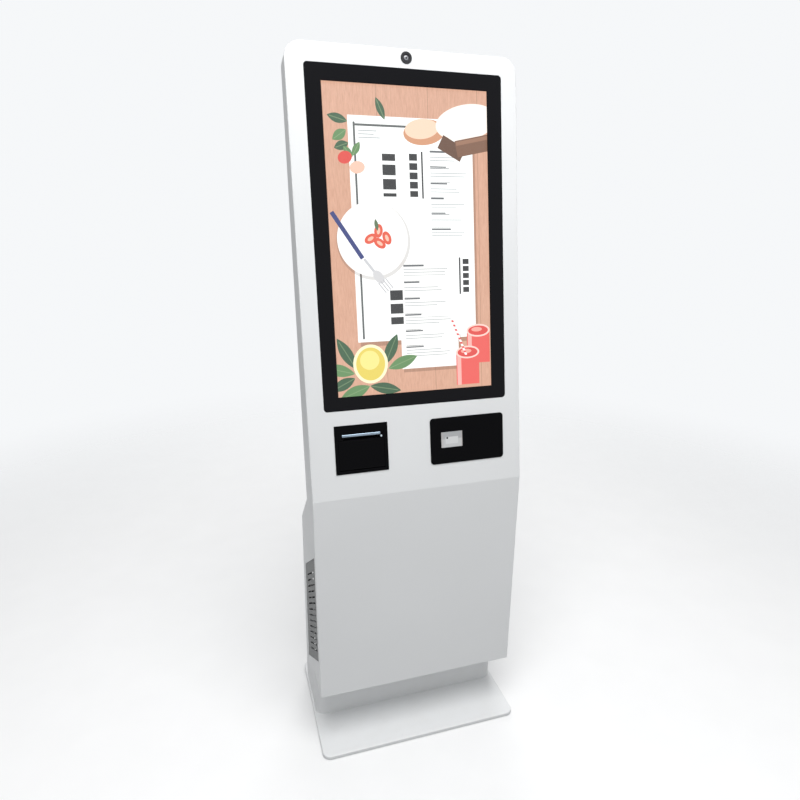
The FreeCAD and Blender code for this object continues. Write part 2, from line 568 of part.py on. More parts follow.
def build_shell():
    """Kick panel, toe cover, sloped top panel with its fan slots, and the rear sill."""
    kick = piece("kick_panel", CABINET)
    outer, inner = HALF, INSIDE
    back = "toe_depth + kick_return"
    channel = [("-" + outer, back), ("-" + outer, "toe_depth"), (outer, "toe_depth"), (outer, back),
               (inner, back), (inner, "toe_depth + sheet"), ("-" + inner, "toe_depth + sheet"),
               ("-" + inner, back)]
    add(kick, "XY", BASE_TOP, "toe_height - seam", [channel])
    front = sheet.toe_depth

    def corner(depth):
        return lambda edge: along(edge, Z_AXIS) and all(abs(p.y - depth) < TOUCH for p in ends(edge))
    soften(kick, "Fillet", "kick_corner", corner(front))
    soften(kick, "Fillet", "kick_corner - sheet", corner(front + sheet.sheet))

    cover = piece("toe_cover", CABINET)
    side = "(%s - weld_gap)" % INSIDE
    add(cover, "XY", "toe_height", "toe_height + sheet",
        [rectangle("-" + side, side, "panel_return + seam", "toe_depth + 3 * sheet")])

    slope = piece("slope_plain", CABINET, keep=False)
    skin = "(sheet / sin(%s))" % SLOPE_LEAN
    top = [("slab_depth", "slope_top"), ("rear_depth_top", "slope_bottom"),
           ("rear_depth_top", "slope_bottom - " + skin), ("slab_depth", "slope_top - " + skin)]
    add(slope, "YZ", "-" + side, side, [top])
    thick = "(sheet / cos(%s))" % REAR_LEAN
    low = "(slope_bottom - flange * cos(%s))" % REAR_LEAN
    fold = [("rear_depth_top", "slope_bottom"), (rear_y(low), low), (rear_y(low, thick), low),
            ("rear_depth_top - " + thick, "slope_bottom")]
    fold_side = "(%s - flange - weld_gap)" % HALF
    add(slope, "YZ", "-" + fold_side, fold_side, [fold])
    vents = piece("slope_vents", SLOPE, keep=False)
    slots = [centred("0", "(fan_place + %d * vent_pitch)" % step, "slope_vent_width",
                     "vent_slot")
             for step in range(-3, 4)]
    add(vents, "XZ", "-2 * sheet", "sheet", slots)
    combine("Cut", "slope_panel", slope, vents)

    sill = piece("rear_sill", REAR)
    bottom = "(2 * weld_gap - %s)" % REAR_LENGTH
    lip = "(sill_height - %s)" % REAR_LENGTH
    angle = [("0", bottom), ("0", lip), ("-sill_return", lip), ("-sill_return", lip + " - sheet"),
             ("-sheet", lip + " - sheet"), ("-sheet", bottom)]
    add(sill, "YZ", "-" + fold_side, fold_side, [angle])
    cut(sill, "XZ", "-sheet", "0",
        [centred("inlet_x", INLET_Z, "(inlet_body_width + 2 * clearance)",
                 "(inlet_body_height + 2 * clearance)")])


def build_display():
    """Touch glass, gasket, panel and its tray, straps and driver box."""
    half = "(glass_width / 2)"
    glass = piece("touch_glass", HEAD)
    top = "glass_bottom + glass_height"
    add(glass, "XZ", "glass_sink", GLASS_BACK, [rectangle("-" + half, half, "glass_bottom", top)])
    soften(glass, "Fillet", "glass_corner", lambda edge: along(edge, Y_AXIS))

    picture_half = "(picture_width / 2)"
    picture_top = "(picture_bottom + picture_height)"
    gasket = piece("display_gasket", HEAD)
    add(gasket, "XZ", GLASS_BACK, SCREEN_FRONT,
        [rectangle("-" + half + " + gasket_inset", half + " - gasket_inset",
                   "glass_bottom + gasket_inset", top + " - gasket_inset")])
    cut(gasket, "XZ", GLASS_BACK, SCREEN_FRONT,
        [rectangle("-%s - gasket_rim" % picture_half, picture_half + " + gasket_rim",
                   "picture_bottom - gasket_rim", picture_top + " + gasket_rim")])

    def panel(rim):
        return rectangle("-%s - %s" % (picture_half, rim), "%s + %s" % (picture_half, rim),
                         "picture_bottom - %s" % rim, "%s + %s" % (picture_top, rim))
    screen = piece("lcd_screen", HEAD)
    add(screen, "XZ", SCREEN_FRONT, SCREEN_FRONT + " + screen_sheet", [panel("screen_rim")])
    case = piece("lcd_tray", HEAD)
    add(case, "XZ", SCREEN_FRONT, TRAY_BACK, [panel("tray_rim")])
    cut(case, "XZ", SCREEN_FRONT, SCREEN_FRONT + " + screen_sheet", [panel("screen_rim")])

    straps = piece("display_straps", HEAD)
    wing = "(glass_width / 2 + 2 * sheet)"
    foot = "(%s + strap_foot)" % wing
    near = "(sheet + weld_gap)"
    hat = [("-" + foot, near), ("-" + wing, near), ("-" + wing, "strap_rise"),
           (wing, "strap_rise"), (wing, near), (foot, near), (foot, near + " + sheet"),
           (wing + " + sheet", near + " + sheet"), (wing + " + sheet", "strap_rise + sheet"),
           ("-%s - sheet" % wing, "strap_rise + sheet"), ("-%s - sheet" % wing, near + " + sheet"),
           ("-" + foot, near + " + sheet")]
    for share in ("0.12", "0.5", "0.88"):
        middle = "(glass_bottom + %s * glass_height)" % share
        add(straps, "XY", middle + " - strap_width / 2", middle + " + strap_width / 2", [hat])

    driver = piece("display_driver", HEAD)
    middle = "(glass_bottom + 0.3 * glass_height)"
    add(driver, "XZ", TRAY_BACK, "strap_rise + 2 * sheet",
        [centred("0", middle, "driver_width", "driver_height")])
    soften(driver, "Chamfer", "sheet", lambda edge: along(edge, Y_AXIS))


def build_camera():
    """Trim ring, front window and the camera box behind the skin."""
    ring = piece("camera_ring", HEAD)
    place = ("0", "camera_height")
    add(ring, "XZ", "-camera_ring_proud", "0", [place + ("camera_ring_radius",)])
    add(ring, "XZ", "0", "3 * sheet", [place + ("camera_barrel_radius",)])
    cut(ring, "XZ", "-camera_ring_proud", "3 * sheet", [place + ("camera_window_radius",)])
    rim = sheet.camera_ring_proud
    soften(ring, "Chamfer", "camera_ring_chamfer",
           lambda edge: all(abs(p.y + rim) < TOUCH for p in ends(edge)))
    window = piece("camera_window", HEAD)
    add(window, "XZ", "-camera_window_proud", "sheet", [place + ("camera_window_radius",)])
    box = piece("camera_box", HEAD)
    add(box, "XZ", "3 * sheet", "3 * sheet + camera_box_depth",
        [centred("0", "camera_height", "camera_box", "camera_box")])
    soften(box, "Fillet", "sheet", lambda edge: along(edge, Y_AXIS))


def build_printer():
    """Ticket printer: bezel, drop-down door with the platen, case, roll, spindle, feed button."""
    left, right = "(printer_x - ticket_door_width / 2)", "(printer_x + ticket_door_width / 2)"
    bezel = piece("printer_bezel", HEAD)
    add(bezel, "XZ", "-bezel_proud", "0",
        [centred("printer_x", "printer_s", "printer_width", "printer_height")])
    add(bezel, "XZ", "0", "bezel_depth",
        [centred("printer_x", "printer_s", "(printer_width - 2 * bezel_inset)",
                 "(printer_height - 2 * bezel_inset)")])
    cut(bezel, "XZ", "-bezel_proud", "bezel_depth",
        [rectangle(left, right, "ticket_door_bottom", "ticket_door_top")])
    cut(bezel, "XZ", "-bezel_proud", "bezel_depth",
        [rectangle("printer_x - ticket_slot_width / 2", "printer_x + ticket_slot_width / 2",
                   "ticket_door_top - sheet", "ticket_slot_top")])
    cut(bezel, "XZ", "-bezel_proud", "bezel_depth", [("feed_x", "feed_s", "feed_radius + feed_gap")])

    bar = piece("tear_bar", HEAD)
    add(bar, "XZ", "-bezel_proud - tear_bar_proud", "-bezel_proud",
        [rectangle("printer_x - tear_bar_width / 2", "printer_x + tear_bar_width / 2",
                   "ticket_slot_top", "ticket_slot_top + tear_bar_height")])

    button = piece("feed_button", HEAD)
    add(button, "XZ", "-bezel_proud - feed_proud", "bezel_depth - feed_proud",
        [("feed_x", "feed_s", "feed_radius")])

    door = piece("ticket_door", HEAD)
    add(door, "XZ", "-bezel_proud", "ticket_door_depth",
        [rectangle(left + " + door_gap", right + " - door_gap", "ticket_door_bottom + door_gap",
                   "ticket_door_top - door_gap")])
    low = sheet.ticket_door_bottom + sheet.door_gap
    soften(door, "Fillet", "ticket_pivot_rise - weld_gap",
           lambda edge: along(edge, X_AXIS)
           and all(abs(p.z - low) < TOUCH and p.y < 0 for p in ends(edge)))
    tip = "platen_n + 2 * platen_shaft_radius"
    ear = [("ticket_door_depth", "platen_s - platen_radius"),
           (tip, "platen_s - 1.5 * platen_shaft_radius"), (tip, "platen_s + 1.5 * platen_shaft_radius"),
           ("ticket_door_depth", "platen_s + platen_radius")]
    for start in ("printer_x - platen_length / 2 - 2 * ear_thickness",
                  "printer_x + platen_length / 2 + ear_thickness"):
        add(door, "YZ", start, start + " + ear_thickness", [ear])
        cut(door, "YZ", start, start + " + ear_thickness",
            [("platen_n", "platen_s", "platen_shaft_radius + running_fit")])

    shaft = piece("platen_shaft", HEAD)
    add(shaft, "YZ", "printer_x - platen_length / 2 - 2.5 * ear_thickness",
        "printer_x + platen_length / 2 + 2.5 * ear_thickness",
        [("platen_n", "platen_s", "platen_shaft_radius")])
    roller = piece("platen_roller", HEAD)
    add(roller, "YZ", "printer_x - platen_length / 2", "printer_x + platen_length / 2",
        [("platen_n", "platen_s", "platen_radius")])
    cut(roller, "YZ", "printer_x - platen_length / 2", "printer_x + platen_length / 2",
        [("platen_n", "platen_s", "platen_shaft_radius")])

    case = piece("printer_case", HEAD)
    back = "bezel_depth + max(printer_case_depth; %s)" % ROLL_SPACE
    roof = "ticket_slot_top + case_high - case_side"
    add(case, "XZ", "bezel_depth", back,
        [rectangle(left + " - case_side", right + " + case_side", "ticket_door_bottom - case_low",
                   "ticket_slot_top + case_high")])
    cut(case, "XZ", "bezel_depth", back + " - printer_wall",
        [rectangle(left, right, CASE_FLOOR, roof)])
    head = piece("print_head", HEAD)
    add(head, "XZ", "bezel_depth + sheet", "bezel_depth + print_head_depth",
        [rectangle("printer_x - platen_length / 2", "printer_x + platen_length / 2",
                   "ticket_door_top + sheet", roof)])
    soften(head, "Chamfer", "sheet",
           lambda edge: along(edge, X_AXIS) and all(p.z < sheet.ticket_slot_top for p in ends(edge)))

    axis = (ROLL_N, ROLL_S)
    spindle = piece("roll_spindle", HEAD)
    add(spindle, "YZ", left, right, [axis + ("spindle_radius",)])
    start, end = "printer_x - roll_width / 2", "printer_x + roll_width / 2"
    core = piece("roll_core", HEAD)
    add(core, "YZ", start, end, [axis + ("core_radius",)])
    cut(core, "YZ", start, end, [axis + ("spindle_radius + running_fit",)])
    roll = piece("paper_roll", HEAD)
    add(roll, "YZ", start + " + clearance", end + " - clearance", [axis + ("roll_radius",)])
    cut(roll, "YZ", start + " + clearance", end + " - clearance", [axis + ("core_radius",)])


def build_reader():
    """Black reader panel with a pale scan window, its sensor eye and the reader behind."""
    panel = piece("reader_panel", HEAD)
    add(panel, "XZ", "-bezel_proud", "0",
        [centred("reader_x", "reader_s", "reader_width", "reader_height")])
    soften(panel, "Fillet", "reader_corner", lambda edge: along(edge, Y_AXIS))
    add(panel, "XZ", "0", "reader_boss",
        [centred("reader_x", "reader_s", "(reader_width - 2 * reader_inset)",
                 "(reader_height - 2 * reader_inset)")])
    cut(panel, "XZ", "-bezel_proud", "reader_boss",
        [centred("window_x", "window_s", "window_width", "window_height")])
    window = piece("scan_window", HEAD)
    add(window, "XZ", "-bezel_proud", "window_thickness - bezel_proud",
        [centred("window_x", "window_s", "window_width", "window_height")])
    eye = ("sensor_x", "sensor_s", "sensor_radius")
    cut(window, "XZ", "-bezel_proud", "window_thickness - bezel_proud", [eye])
    sensor = piece("sensor_eye", HEAD)
    add(sensor, "XZ", "-bezel_proud", "window_thickness - bezel_proud", [eye])
    box = piece("reader_box", HEAD)
    add(box, "XZ", "reader_boss", "reader_boss + reader_box_depth",
        [centred("window_x", "window_s", "(window_width + 2 * reader_box_margin)",
                 "(window_height + 2 * reader_box_margin)")])
    soften(box, "Fillet", "sheet", lambda edge: along(edge, Y_AXIS))


def build_equipment():
    """Shelf with the computer and power supply, and the two speakers behind the grilles."""
    side = "(%s - grille_sheet - weld_gap)" % INSIDE
    shelf = piece("equipment_shelf", CABINET)
    back = "shelf_front + shelf_depth"
    section = [("shelf_front", "shelf_height"), (back, "shelf_height"),
               (back, "shelf_height - shelf_lip"), (back + " - sheet", "shelf_height - shelf_lip"),
               (back + " - sheet", "shelf_height - sheet"),
               ("shelf_front + sheet", "shelf_height - sheet"),
               ("shelf_front + sheet", "shelf_height - shelf_lip"),
               ("shelf_front", "shelf_height - shelf_lip")]
    add(shelf, "YZ", "-" + side, side, [section])

    computer = piece("computer", CABINET)
    front, rear = "equipment_front", "equipment_front + computer_depth"
    top = "shelf_height + computer_height"
    left = "(computer_x - computer_width / 2)"
    right = "(computer_x + computer_width / 2)"
    add(computer, "XY", "shelf_height", top, [rectangle(left, right, front, rear)])
    soften(computer, "Fillet", "2 * sheet", lambda edge: along(edge, Z_AXIS))
    fins = []
    for k in range(int(sheet.fin_count)):
        start = "%s + fin_start + %d * fin_pitch" % (left, k)
        fins.append(rectangle(start, start + " + fin_gap", front + " + fin_start", rear + " - fin_start"))
    cut(computer, "XY", top + " - fin_depth", top, fins)
    press = (right + " - button_inset", "shelf_height + computer_height / 2")
    cut(computer, "XZ", rear + " - button_depth - button_stop", rear,
        [press + ("button_radius + button_gap",)])
    button = piece("computer_button", CABINET)
    add(button, "XZ", rear + " - button_depth", rear + " + button_proud", [press + ("button_radius",)])

    supply = piece("power_supply", CABINET)
    left = "(supply_x - supply_width / 2)"
    right = "(supply_x + supply_width / 2)"
    rear = "equipment_front + supply_depth"
    top = "shelf_height + supply_height"
    add(supply, "XY", "shelf_height", top, [rectangle(left, right, "equipment_front", rear)])
    slots = []
    for k in range(int(sheet.fin_count)):
        start = "%s + supply_slot_start + %d * vent_pitch" % (left, k)
        slots.append(rectangle(start, start + " + supply_slot", "equipment_front + supply_slot_start",
                               rear + " - supply_slot_start"))
    cut(supply, "XY", top + " - supply_skin", top, slots)

    axis = ("speaker_depth", "speaker_height")
    face = "(%s - grille_sheet)" % INSIDE
    body = piece("speakers", CABINET)
    for sign in (-1, 1):
        start, end = side_span(sign, face + " - sheet", face)
        add(body, "YZ", start, end, [centred(*axis, "(2 * speaker_flange)", "(2 * speaker_flange)")])
        start, end = side_span(sign, face + " - speaker_length + speaker_magnet", face + " - sheet")
        add(body, "YZ", start, end, [axis + ("speaker_basket_radius",)])
        start, end = side_span(sign, face + " - speaker_length", face + " - speaker_length + speaker_magnet")
        add(body, "YZ", start, end, [axis + ("speaker_magnet_radius",)])
        start, end = side_span(sign, face + " - cone_sink", face)
        cut(body, "YZ", start, end, [axis + ("cone_radius",)])
    cones = piece("speaker_cones", CABINET)
    for sign in (-1, 1):
        start, end = side_span(sign, face + " - cone_sink",
                               face + " - cone_sink + cone_thickness")
        add(cones, "YZ", start, end, [axis + ("cone_radius",)])


def build_fan():
    """Cooling fan hung under the sloped panel's slots."""
    top = "-(sheet + weld_gap)"
    bottom = "-(sheet + weld_gap + fan_thickness)"
    frame = piece("fan_frame", SLOPE)
    add(frame, "XZ", bottom, top, [centred("0", "fan_place", "fan_size", "fan_size")])
    soften(frame, "Fillet", "3 * sheet", lambda edge: along(edge, Y_AXIS))
    cut(frame, "XZ", bottom, top, [("0", "fan_place", "fan_bore_radius")])
    add(frame, "XZ", bottom, bottom + " + fan_web", [("0", "fan_place", "fan_hub_radius")])
    for angle in ("45", "-45"):
        across = "(fan_bore_radius + spoke_bite) * cos(%s)" % angle
        up = "(fan_bore_radius + spoke_bite) * sin(%s)" % angle
        spoke = [("-" + across, "fan_place - %s - fan_web" % up), (across, "fan_place + %s - fan_web" % up),
                 (across, "fan_place + %s + fan_web" % up), ("-" + across, "fan_place - %s + fan_web" % up)]
        add(frame, "XZ", bottom, bottom + " + fan_web", [spoke])
    rotor = piece("fan_rotor", SLOPE, z="fan_place")
    add(rotor, "XZ", bottom + " + fan_web + clearance", top + " - fan_web",
        [("0", "0", "fan_hub_radius")])
    low, high = bottom + " + blade_start", top + " - blade_stop"
    blade = [(low, "-blade_half"), (low + " + blade_sheet", "-blade_half"), (high, "blade_half"),
             (high + " - blade_sheet", "blade_half")]
    pad = add(rotor, "YZ", "fan_hub_radius - blade_sheet", "fan_rotor_radius", [blade])
    ring = rotor.newObject("PartDesign::PolarPattern", "fan_blades")
    ring.Originals = [pad]
    ring.Axis = ([part for part in rotor.Origin.OriginFeatures if part.Role == "Y_Axis"][0], [""])
    ring.Angle = 360
    ring.setExpression("Occurrences", bound("blade_count"))
    rotor.Tip = ring
    doc.recompute()


def build_rear_door():
    """Louvred rear door on two lift-off hinges, with a cam lock and its keeper."""
    edge = "(%s - flange - rear_gap)" % HALF
    high = "-(flange + rear_gap)"
    low = "(sill_height + rear_gap - %s)" % REAR_LENGTH
    door = piece("rear_door", REAR)
    add(door, "XZ", "-door_return", "0", [rectangle("-" + edge, edge, low, high)])
    cut(door, "XZ", "-door_return", "-sheet",
        [rectangle("-%s + sheet" % edge, edge + " - sheet", low + " + sheet", high + " - sheet")])
    slots = []
    for level in ("-louvre_top", low + " + louvre_bottom"):
        for row in range(int(sheet.louvre_rows)):
            height = "(%s + %d * vent_pitch)" % (level, row)
            for column in (-1, 0, 1):
                slots.append(centred("(%d * louvre_pitch)" % column, height, "louvre_width", "vent_slot"))
    cut(door, "XZ", "-sheet", "0", slots)
    cut(door, "XZ", "-sheet", "0", [("-lock_x", "-lock_z", "lock_body_radius")])
    soften(door, "Fillet", "sheet / 2",
           lambda e: (along(e, X_AXIS) or along(e, Z_AXIS)) and e.Length > sheet.louvre_width + TOUCH
           and all(abs(p.y) < TOUCH for p in ends(e)))

    leaves = piece("hinge_leaves", REAR)
    pins = piece("hinge_pins", REAR)
    knuckles = piece("hinge_knuckles", REAR)
    axis = (LEAF_X, "hinge_stand")
    for step in (0, 1):
        level = "-(hinge_first + %d * hinge_pitch)" % step
        low_end, high_end = level + " - hinge_half", level + " + hinge_half"
        fixed = rectangle(LEAF_X, LEAF_X + " + leaf_width", "0", "sheet")
        add(leaves, "XY", low_end, level + " - hinge_gap", [axis + ("hinge_radius",)])
        add(leaves, "XY", low_end, level + " - hinge_gap", [fixed])
        cut(leaves, "XY", low_end, level + " - hinge_gap", [axis + ("hinge_pin_radius",)])
        add(pins, "XY", low_end, high_end + " - pin_short", [axis + ("hinge_pin_radius",)])
        swung = rectangle(LEAF_X + " - leaf_width", LEAF_X, "0", "sheet")
        add(knuckles, "XY", level + " + hinge_gap", high_end, [axis + ("hinge_radius",)])
        add(knuckles, "XY", level + " + hinge_gap", high_end, [swung])
        cut(knuckles, "XY", level + " + hinge_gap", high_end, [axis + ("hinge_pin_radius + running_fit",)])

    place = ("-lock_x", "-lock_z")
    housing = piece("lock_housing", REAR)
    add(housing, "XZ", "0", "sheet", [place + ("lock_flange_radius",)])
    add(housing, "XZ", "-lock_depth", "0", [place + ("lock_body_radius",)])
    cut(housing, "XZ", "-lock_depth", "sheet", [place + ("lock_plug_radius + running_fit",)])
    plug = piece("lock_plug", REAR)
    add(plug, "XZ", "-lock_depth - weld_gap", "sheet + plug_proud",
        [place + ("lock_plug_radius",)])
    cut(plug, "XZ", "-key_depth", "sheet + plug_proud", [centred(*place, "key_width", "key_height")])
    cam = piece("lock_cam", REAR)
    start = "-(lock_depth + weld_gap + cam_thickness)"
    add(cam, "XZ", start, "-lock_depth - weld_gap",
        [rectangle("-lock_x - cam_width / 2", "-lock_x + cam_width / 2",
                   "-lock_z - cam_length", "-lock_z + cam_width / 2")])
    soften(cam, "Fillet", "cam_width / 3", lambda e: along(e, Y_AXIS))

    keeper = piece("lock_keeper", REAR)
    wall = "(%s - weld_gap)" % INSIDE
    deep = "-(grille_margin - grille_lip - sheet)"
    face = "-(lock_depth - clearance)"
    profile = [("-" + wall, deep), ("-%s + sheet" % wall, deep), ("-%s + sheet" % wall, face),
               ("-%s + keeper_reach" % wall, face), ("-%s + keeper_reach" % wall, face + " + sheet"),
               ("-" + wall, face + " + sheet")]
    add(keeper, "XY", "-lock_z - keeper_height / 2", "-lock_z + keeper_height / 2", [profile])


def build_inlet():
    """Mains inlet with its blades and a rocker switch, fixed in the sill."""
    place = ("inlet_x", INLET_Z)
    body = piece("power_inlet", REAR)
    add(body, "XZ", "0", "inlet_rim", [centred(*place, "inlet_flange_width", "inlet_flange_height")])
    soften(body, "Fillet", "2 * sheet", lambda e: along(e, Y_AXIS))
    add(body, "XZ", "-inlet_body_depth", "0",
        [centred(*place, "inlet_body_width", "inlet_body_height")])
    cut(body, "XZ", "inlet_rim - socket_depth", "inlet_rim",
        [centred("(inlet_x + socket_x)", INLET_Z, "socket_width", "socket_height")])
    cut(body, "XZ", "-rocker_well", "inlet_rim",
        [centred("(inlet_x + rocker_x)", INLET_Z, "(rocker_width + 2 * clearance)",
                 "(2 * rocker_well_half)")])
    blades = piece("inlet_blades", REAR)
    low, high = INLET_Z + " - prong_low", INLET_Z + " + prong_high"
    spots = [("(inlet_x + socket_x - prong_spread)", low), ("(inlet_x + socket_x + prong_spread)", low),
             ("(inlet_x + socket_x)", high)]
    add(blades, "XZ", "inlet_rim - socket_depth", "inlet_rim - prong_sink",
        [centred(x, z, "prong_width", "prong_height") for x, z in spots])
    rocker = piece("power_rocker", REAR, x="inlet_x + rocker_x", y="-rocker_pivot", z=INLET_Z,
                   turn="rocker_tilt")
    lip = "rocker_pivot + rocker_lip"
    wedge = [("-rocker_root", "-rocker_root_half"), (lip, "-rocker_half"),
             ("rocker_pivot + rocker_dip", "0"), (lip, "rocker_half"), ("-rocker_root", "rocker_root_half")]
    add(rocker, "YZ", "-rocker_width / 2", "rocker_width / 2", [wedge])
    pin_end = "(rocker_width / 2 + clearance - running_fit)"
    add(rocker, "YZ", "-" + pin_end, pin_end, [("0", "0", "rocker_pin_radius")])


build_base()
build_front_panel()
build_head_back()
build_uprights()
build_sides()
build_shell()
build_display()
build_camera()
build_printer()
build_reader()
build_equipment()
build_fan()
build_rear_door()
build_inlet()

doc.recompute()
for obj in doc.Objects:
    if "Invalid" in obj.State or "Error" in obj.State:
        raise RuntimeError("%s failed: %s" % (obj.Label, obj.State))
os.makedirs("parts", exist_ok=True)
for obj in subparts:
    if obj.Shape.isNull() or not obj.Shape.isValid():
        raise RuntimeError("%s has no valid shape" % obj.Label)
for obj in subparts:
    obj.Shape.exportStep("parts/%s.step" % obj.Label)
print("%d sub-parts written" % len(subparts))
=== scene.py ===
import json
import math

import bmesh
import bpy
from mathutils import Matrix, Vector


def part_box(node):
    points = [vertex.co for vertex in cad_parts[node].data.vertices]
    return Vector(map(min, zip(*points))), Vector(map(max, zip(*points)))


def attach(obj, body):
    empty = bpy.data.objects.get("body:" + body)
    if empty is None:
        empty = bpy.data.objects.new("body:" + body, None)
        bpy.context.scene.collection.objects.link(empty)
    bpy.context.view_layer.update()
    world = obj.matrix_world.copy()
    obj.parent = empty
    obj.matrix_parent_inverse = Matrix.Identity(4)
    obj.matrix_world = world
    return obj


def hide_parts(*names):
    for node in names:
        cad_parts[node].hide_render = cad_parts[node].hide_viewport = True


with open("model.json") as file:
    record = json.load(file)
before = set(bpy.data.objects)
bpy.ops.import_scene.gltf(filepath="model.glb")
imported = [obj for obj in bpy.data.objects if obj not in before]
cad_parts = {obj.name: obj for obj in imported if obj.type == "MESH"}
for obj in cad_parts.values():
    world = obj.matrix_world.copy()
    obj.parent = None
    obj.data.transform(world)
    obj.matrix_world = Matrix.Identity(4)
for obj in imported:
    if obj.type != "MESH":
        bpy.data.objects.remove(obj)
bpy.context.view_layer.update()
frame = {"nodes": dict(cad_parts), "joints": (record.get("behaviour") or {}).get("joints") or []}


# ---------------------------------------------------------------------------------------
# Floor plate: 10 mm steel with rounded corners and a rolled top edge, powder coated like
# the cabinet. It stands on four rubber pads that are glued into shallow seats.
# ---------------------------------------------------------------------------------------
class Wire:
    """The output of a shader node. Arithmetic on wires adds the nodes that work it out."""

    def __init__(self, socket):
        self.socket = socket

    def node(self, kind, sockets, output=0, **settings):
        """Another node of the same tree: its settings first, then its sockets' values or wires."""
        tree = self.socket.id_data
        made = tree.nodes.new(kind)
        for name, setting in settings.items():
            setattr(made, name, setting)
        for name, given in sockets.items():
            if isinstance(given, Wire):
                tree.links.new(given.socket, made.inputs[name])
            else:
                made.inputs[name].default_value = given
        return Wire(made.outputs[output])

    def combine(self, operation, other, swapped=False):
        """One step of arithmetic, by a Math node on values and by Vector Math on vectors."""
        pair = [other, self] if swapped else [self, other]
        wires = [wire for wire in pair if isinstance(wire, Wire)]
        if any(wire.socket.type in ("VECTOR", "RGBA") for wire in wires):
            pair = [side if isinstance(side, (Wire, tuple)) else (side,) * 3 for side in pair]
            return self.node("ShaderNodeVectorMath", dict(enumerate(pair)), operation=operation)
        return self.node("ShaderNodeMath", dict(enumerate(pair)), operation=operation)

    def __add__(self, other):
        return self.combine("ADD", other)

    def __radd__(self, other):
        return self.combine("ADD", other)

    def __sub__(self, other):
        return self.combine("SUBTRACT", other)

    def __rsub__(self, other):
        return self.combine("SUBTRACT", other, swapped=True)

    def __mul__(self, other):
        return self.combine("MULTIPLY", other)

    def __rmul__(self, other):
        return self.combine("MULTIPLY", other)

    def __truediv__(self, other):
        return self.combine("DIVIDE", other)

    def __gt__(self, other):
        return self.combine("GREATER_THAN", other)

    def __lt__(self, other):
        return self.combine("LESS_THAN", other)

    def __pow__(self, other):
        return self.combine("POWER", other)

    def __abs__(self):
        return self.node("ShaderNodeMath", {0: self}, operation="ABSOLUTE")

    def most(self, other):
        return self.combine("MAXIMUM", other)

    def rest_of(self, step):
        """What is left of this value after whole steps, always positive."""
        return self.combine("FLOORED_MODULO", step)

    def axis(self, letter):
        return self.node("ShaderNodeSeparateXYZ", {0: self}, output="XYZ".index(letter))

    def ramp(self, low, high):
        """0 below low, 1 above high, and smooth between them."""
        return self.node("ShaderNodeMapRange", {"Value": self, "From Min": low, "From Max": high},
                         interpolation_type="SMOOTHSTEP")

    def noise(self, scale, detail=2.0, roughness=0.5):
        """Cloudy noise at this place, from 0 to 1, with scale cells in a metre."""
        return self.node("ShaderNodeTexNoise", {"Vector": self, "Scale": scale, "Detail": detail,
                                                "Roughness": roughness})

    def stretched(self, x, y, z):
        return self.node("ShaderNodeVectorMath", {0: self, 1: (x, y, z)}, operation="MULTIPLY")

    def blend(self, first, second):
        """A colour from first, where this is 0, to second, where this is 1."""
        sides = [side if isinstance(side, Wire) else (*side, 1.0) for side in (first, second)]
        return self.node("ShaderNodeMix", {0: self, 6: sides[0], 7: sides[1]}, output=2,
                         data_type="RGBA")

    def bump(self, depth, strength=1.0):
        """A surface normal from this height, which is depth metres high where this is 1."""
        return self.node("ShaderNodeBump", {"Height": self, "Distance": depth, "Strength": strength})


class Finish:
    """A material of the kiosk; place is the point on it in metres, in the kiosk's own frame."""

    def __init__(self, name, **fixed):
        self.material = bpy.data.materials.new(name)
        self.material.use_nodes = True
        self.shader = self.material.node_tree.nodes["Principled BSDF"]
        for socket, value in fixed.items():
            self.shader.inputs[socket.replace("_", " ")].default_value = value
        coordinates = self.material.node_tree.nodes.new("ShaderNodeTexCoord")
        self.place = Wire(coordinates.outputs["Object"])

    def feed(self, **wires):
        """Join wires to the shader's sockets, named with _ for a space."""
        for socket, wire in wires.items():
            target = self.shader.inputs[socket.replace("_", " ")]
            self.material.node_tree.links.new(wire.socket, target)

    def on(self, *nodes):
        """Give this finish to whole CAD nodes or to built pieces."""
        for node in nodes:
            piece = frame["nodes"][node] if isinstance(node, str) else node
            if not piece.material_slots:
                piece.data.materials.append(None)
            for material_slot in piece.material_slots:
                material_slot.link = "OBJECT"
                material_slot.material = self.material


def ease_edges(width, *nodes):
    """Round a CAD node's sharp edges a little, as deburring and the coat do, for their highlights."""
    for node in nodes:
        piece = frame["nodes"][node]
        weld = piece.modifiers.new("weld", "WELD")
        weld.merge_threshold = 1e-5
        bevel = piece.modifiers.new("eased_edges", "BEVEL")
        bevel.width = width
        bevel.segments = 2
        bevel.limit_method = "ANGLE"
        bevel.angle_limit = math.radians(40)
        piece.modifiers.new("flat_faces", "WEIGHTED_NORMAL").weight = 100


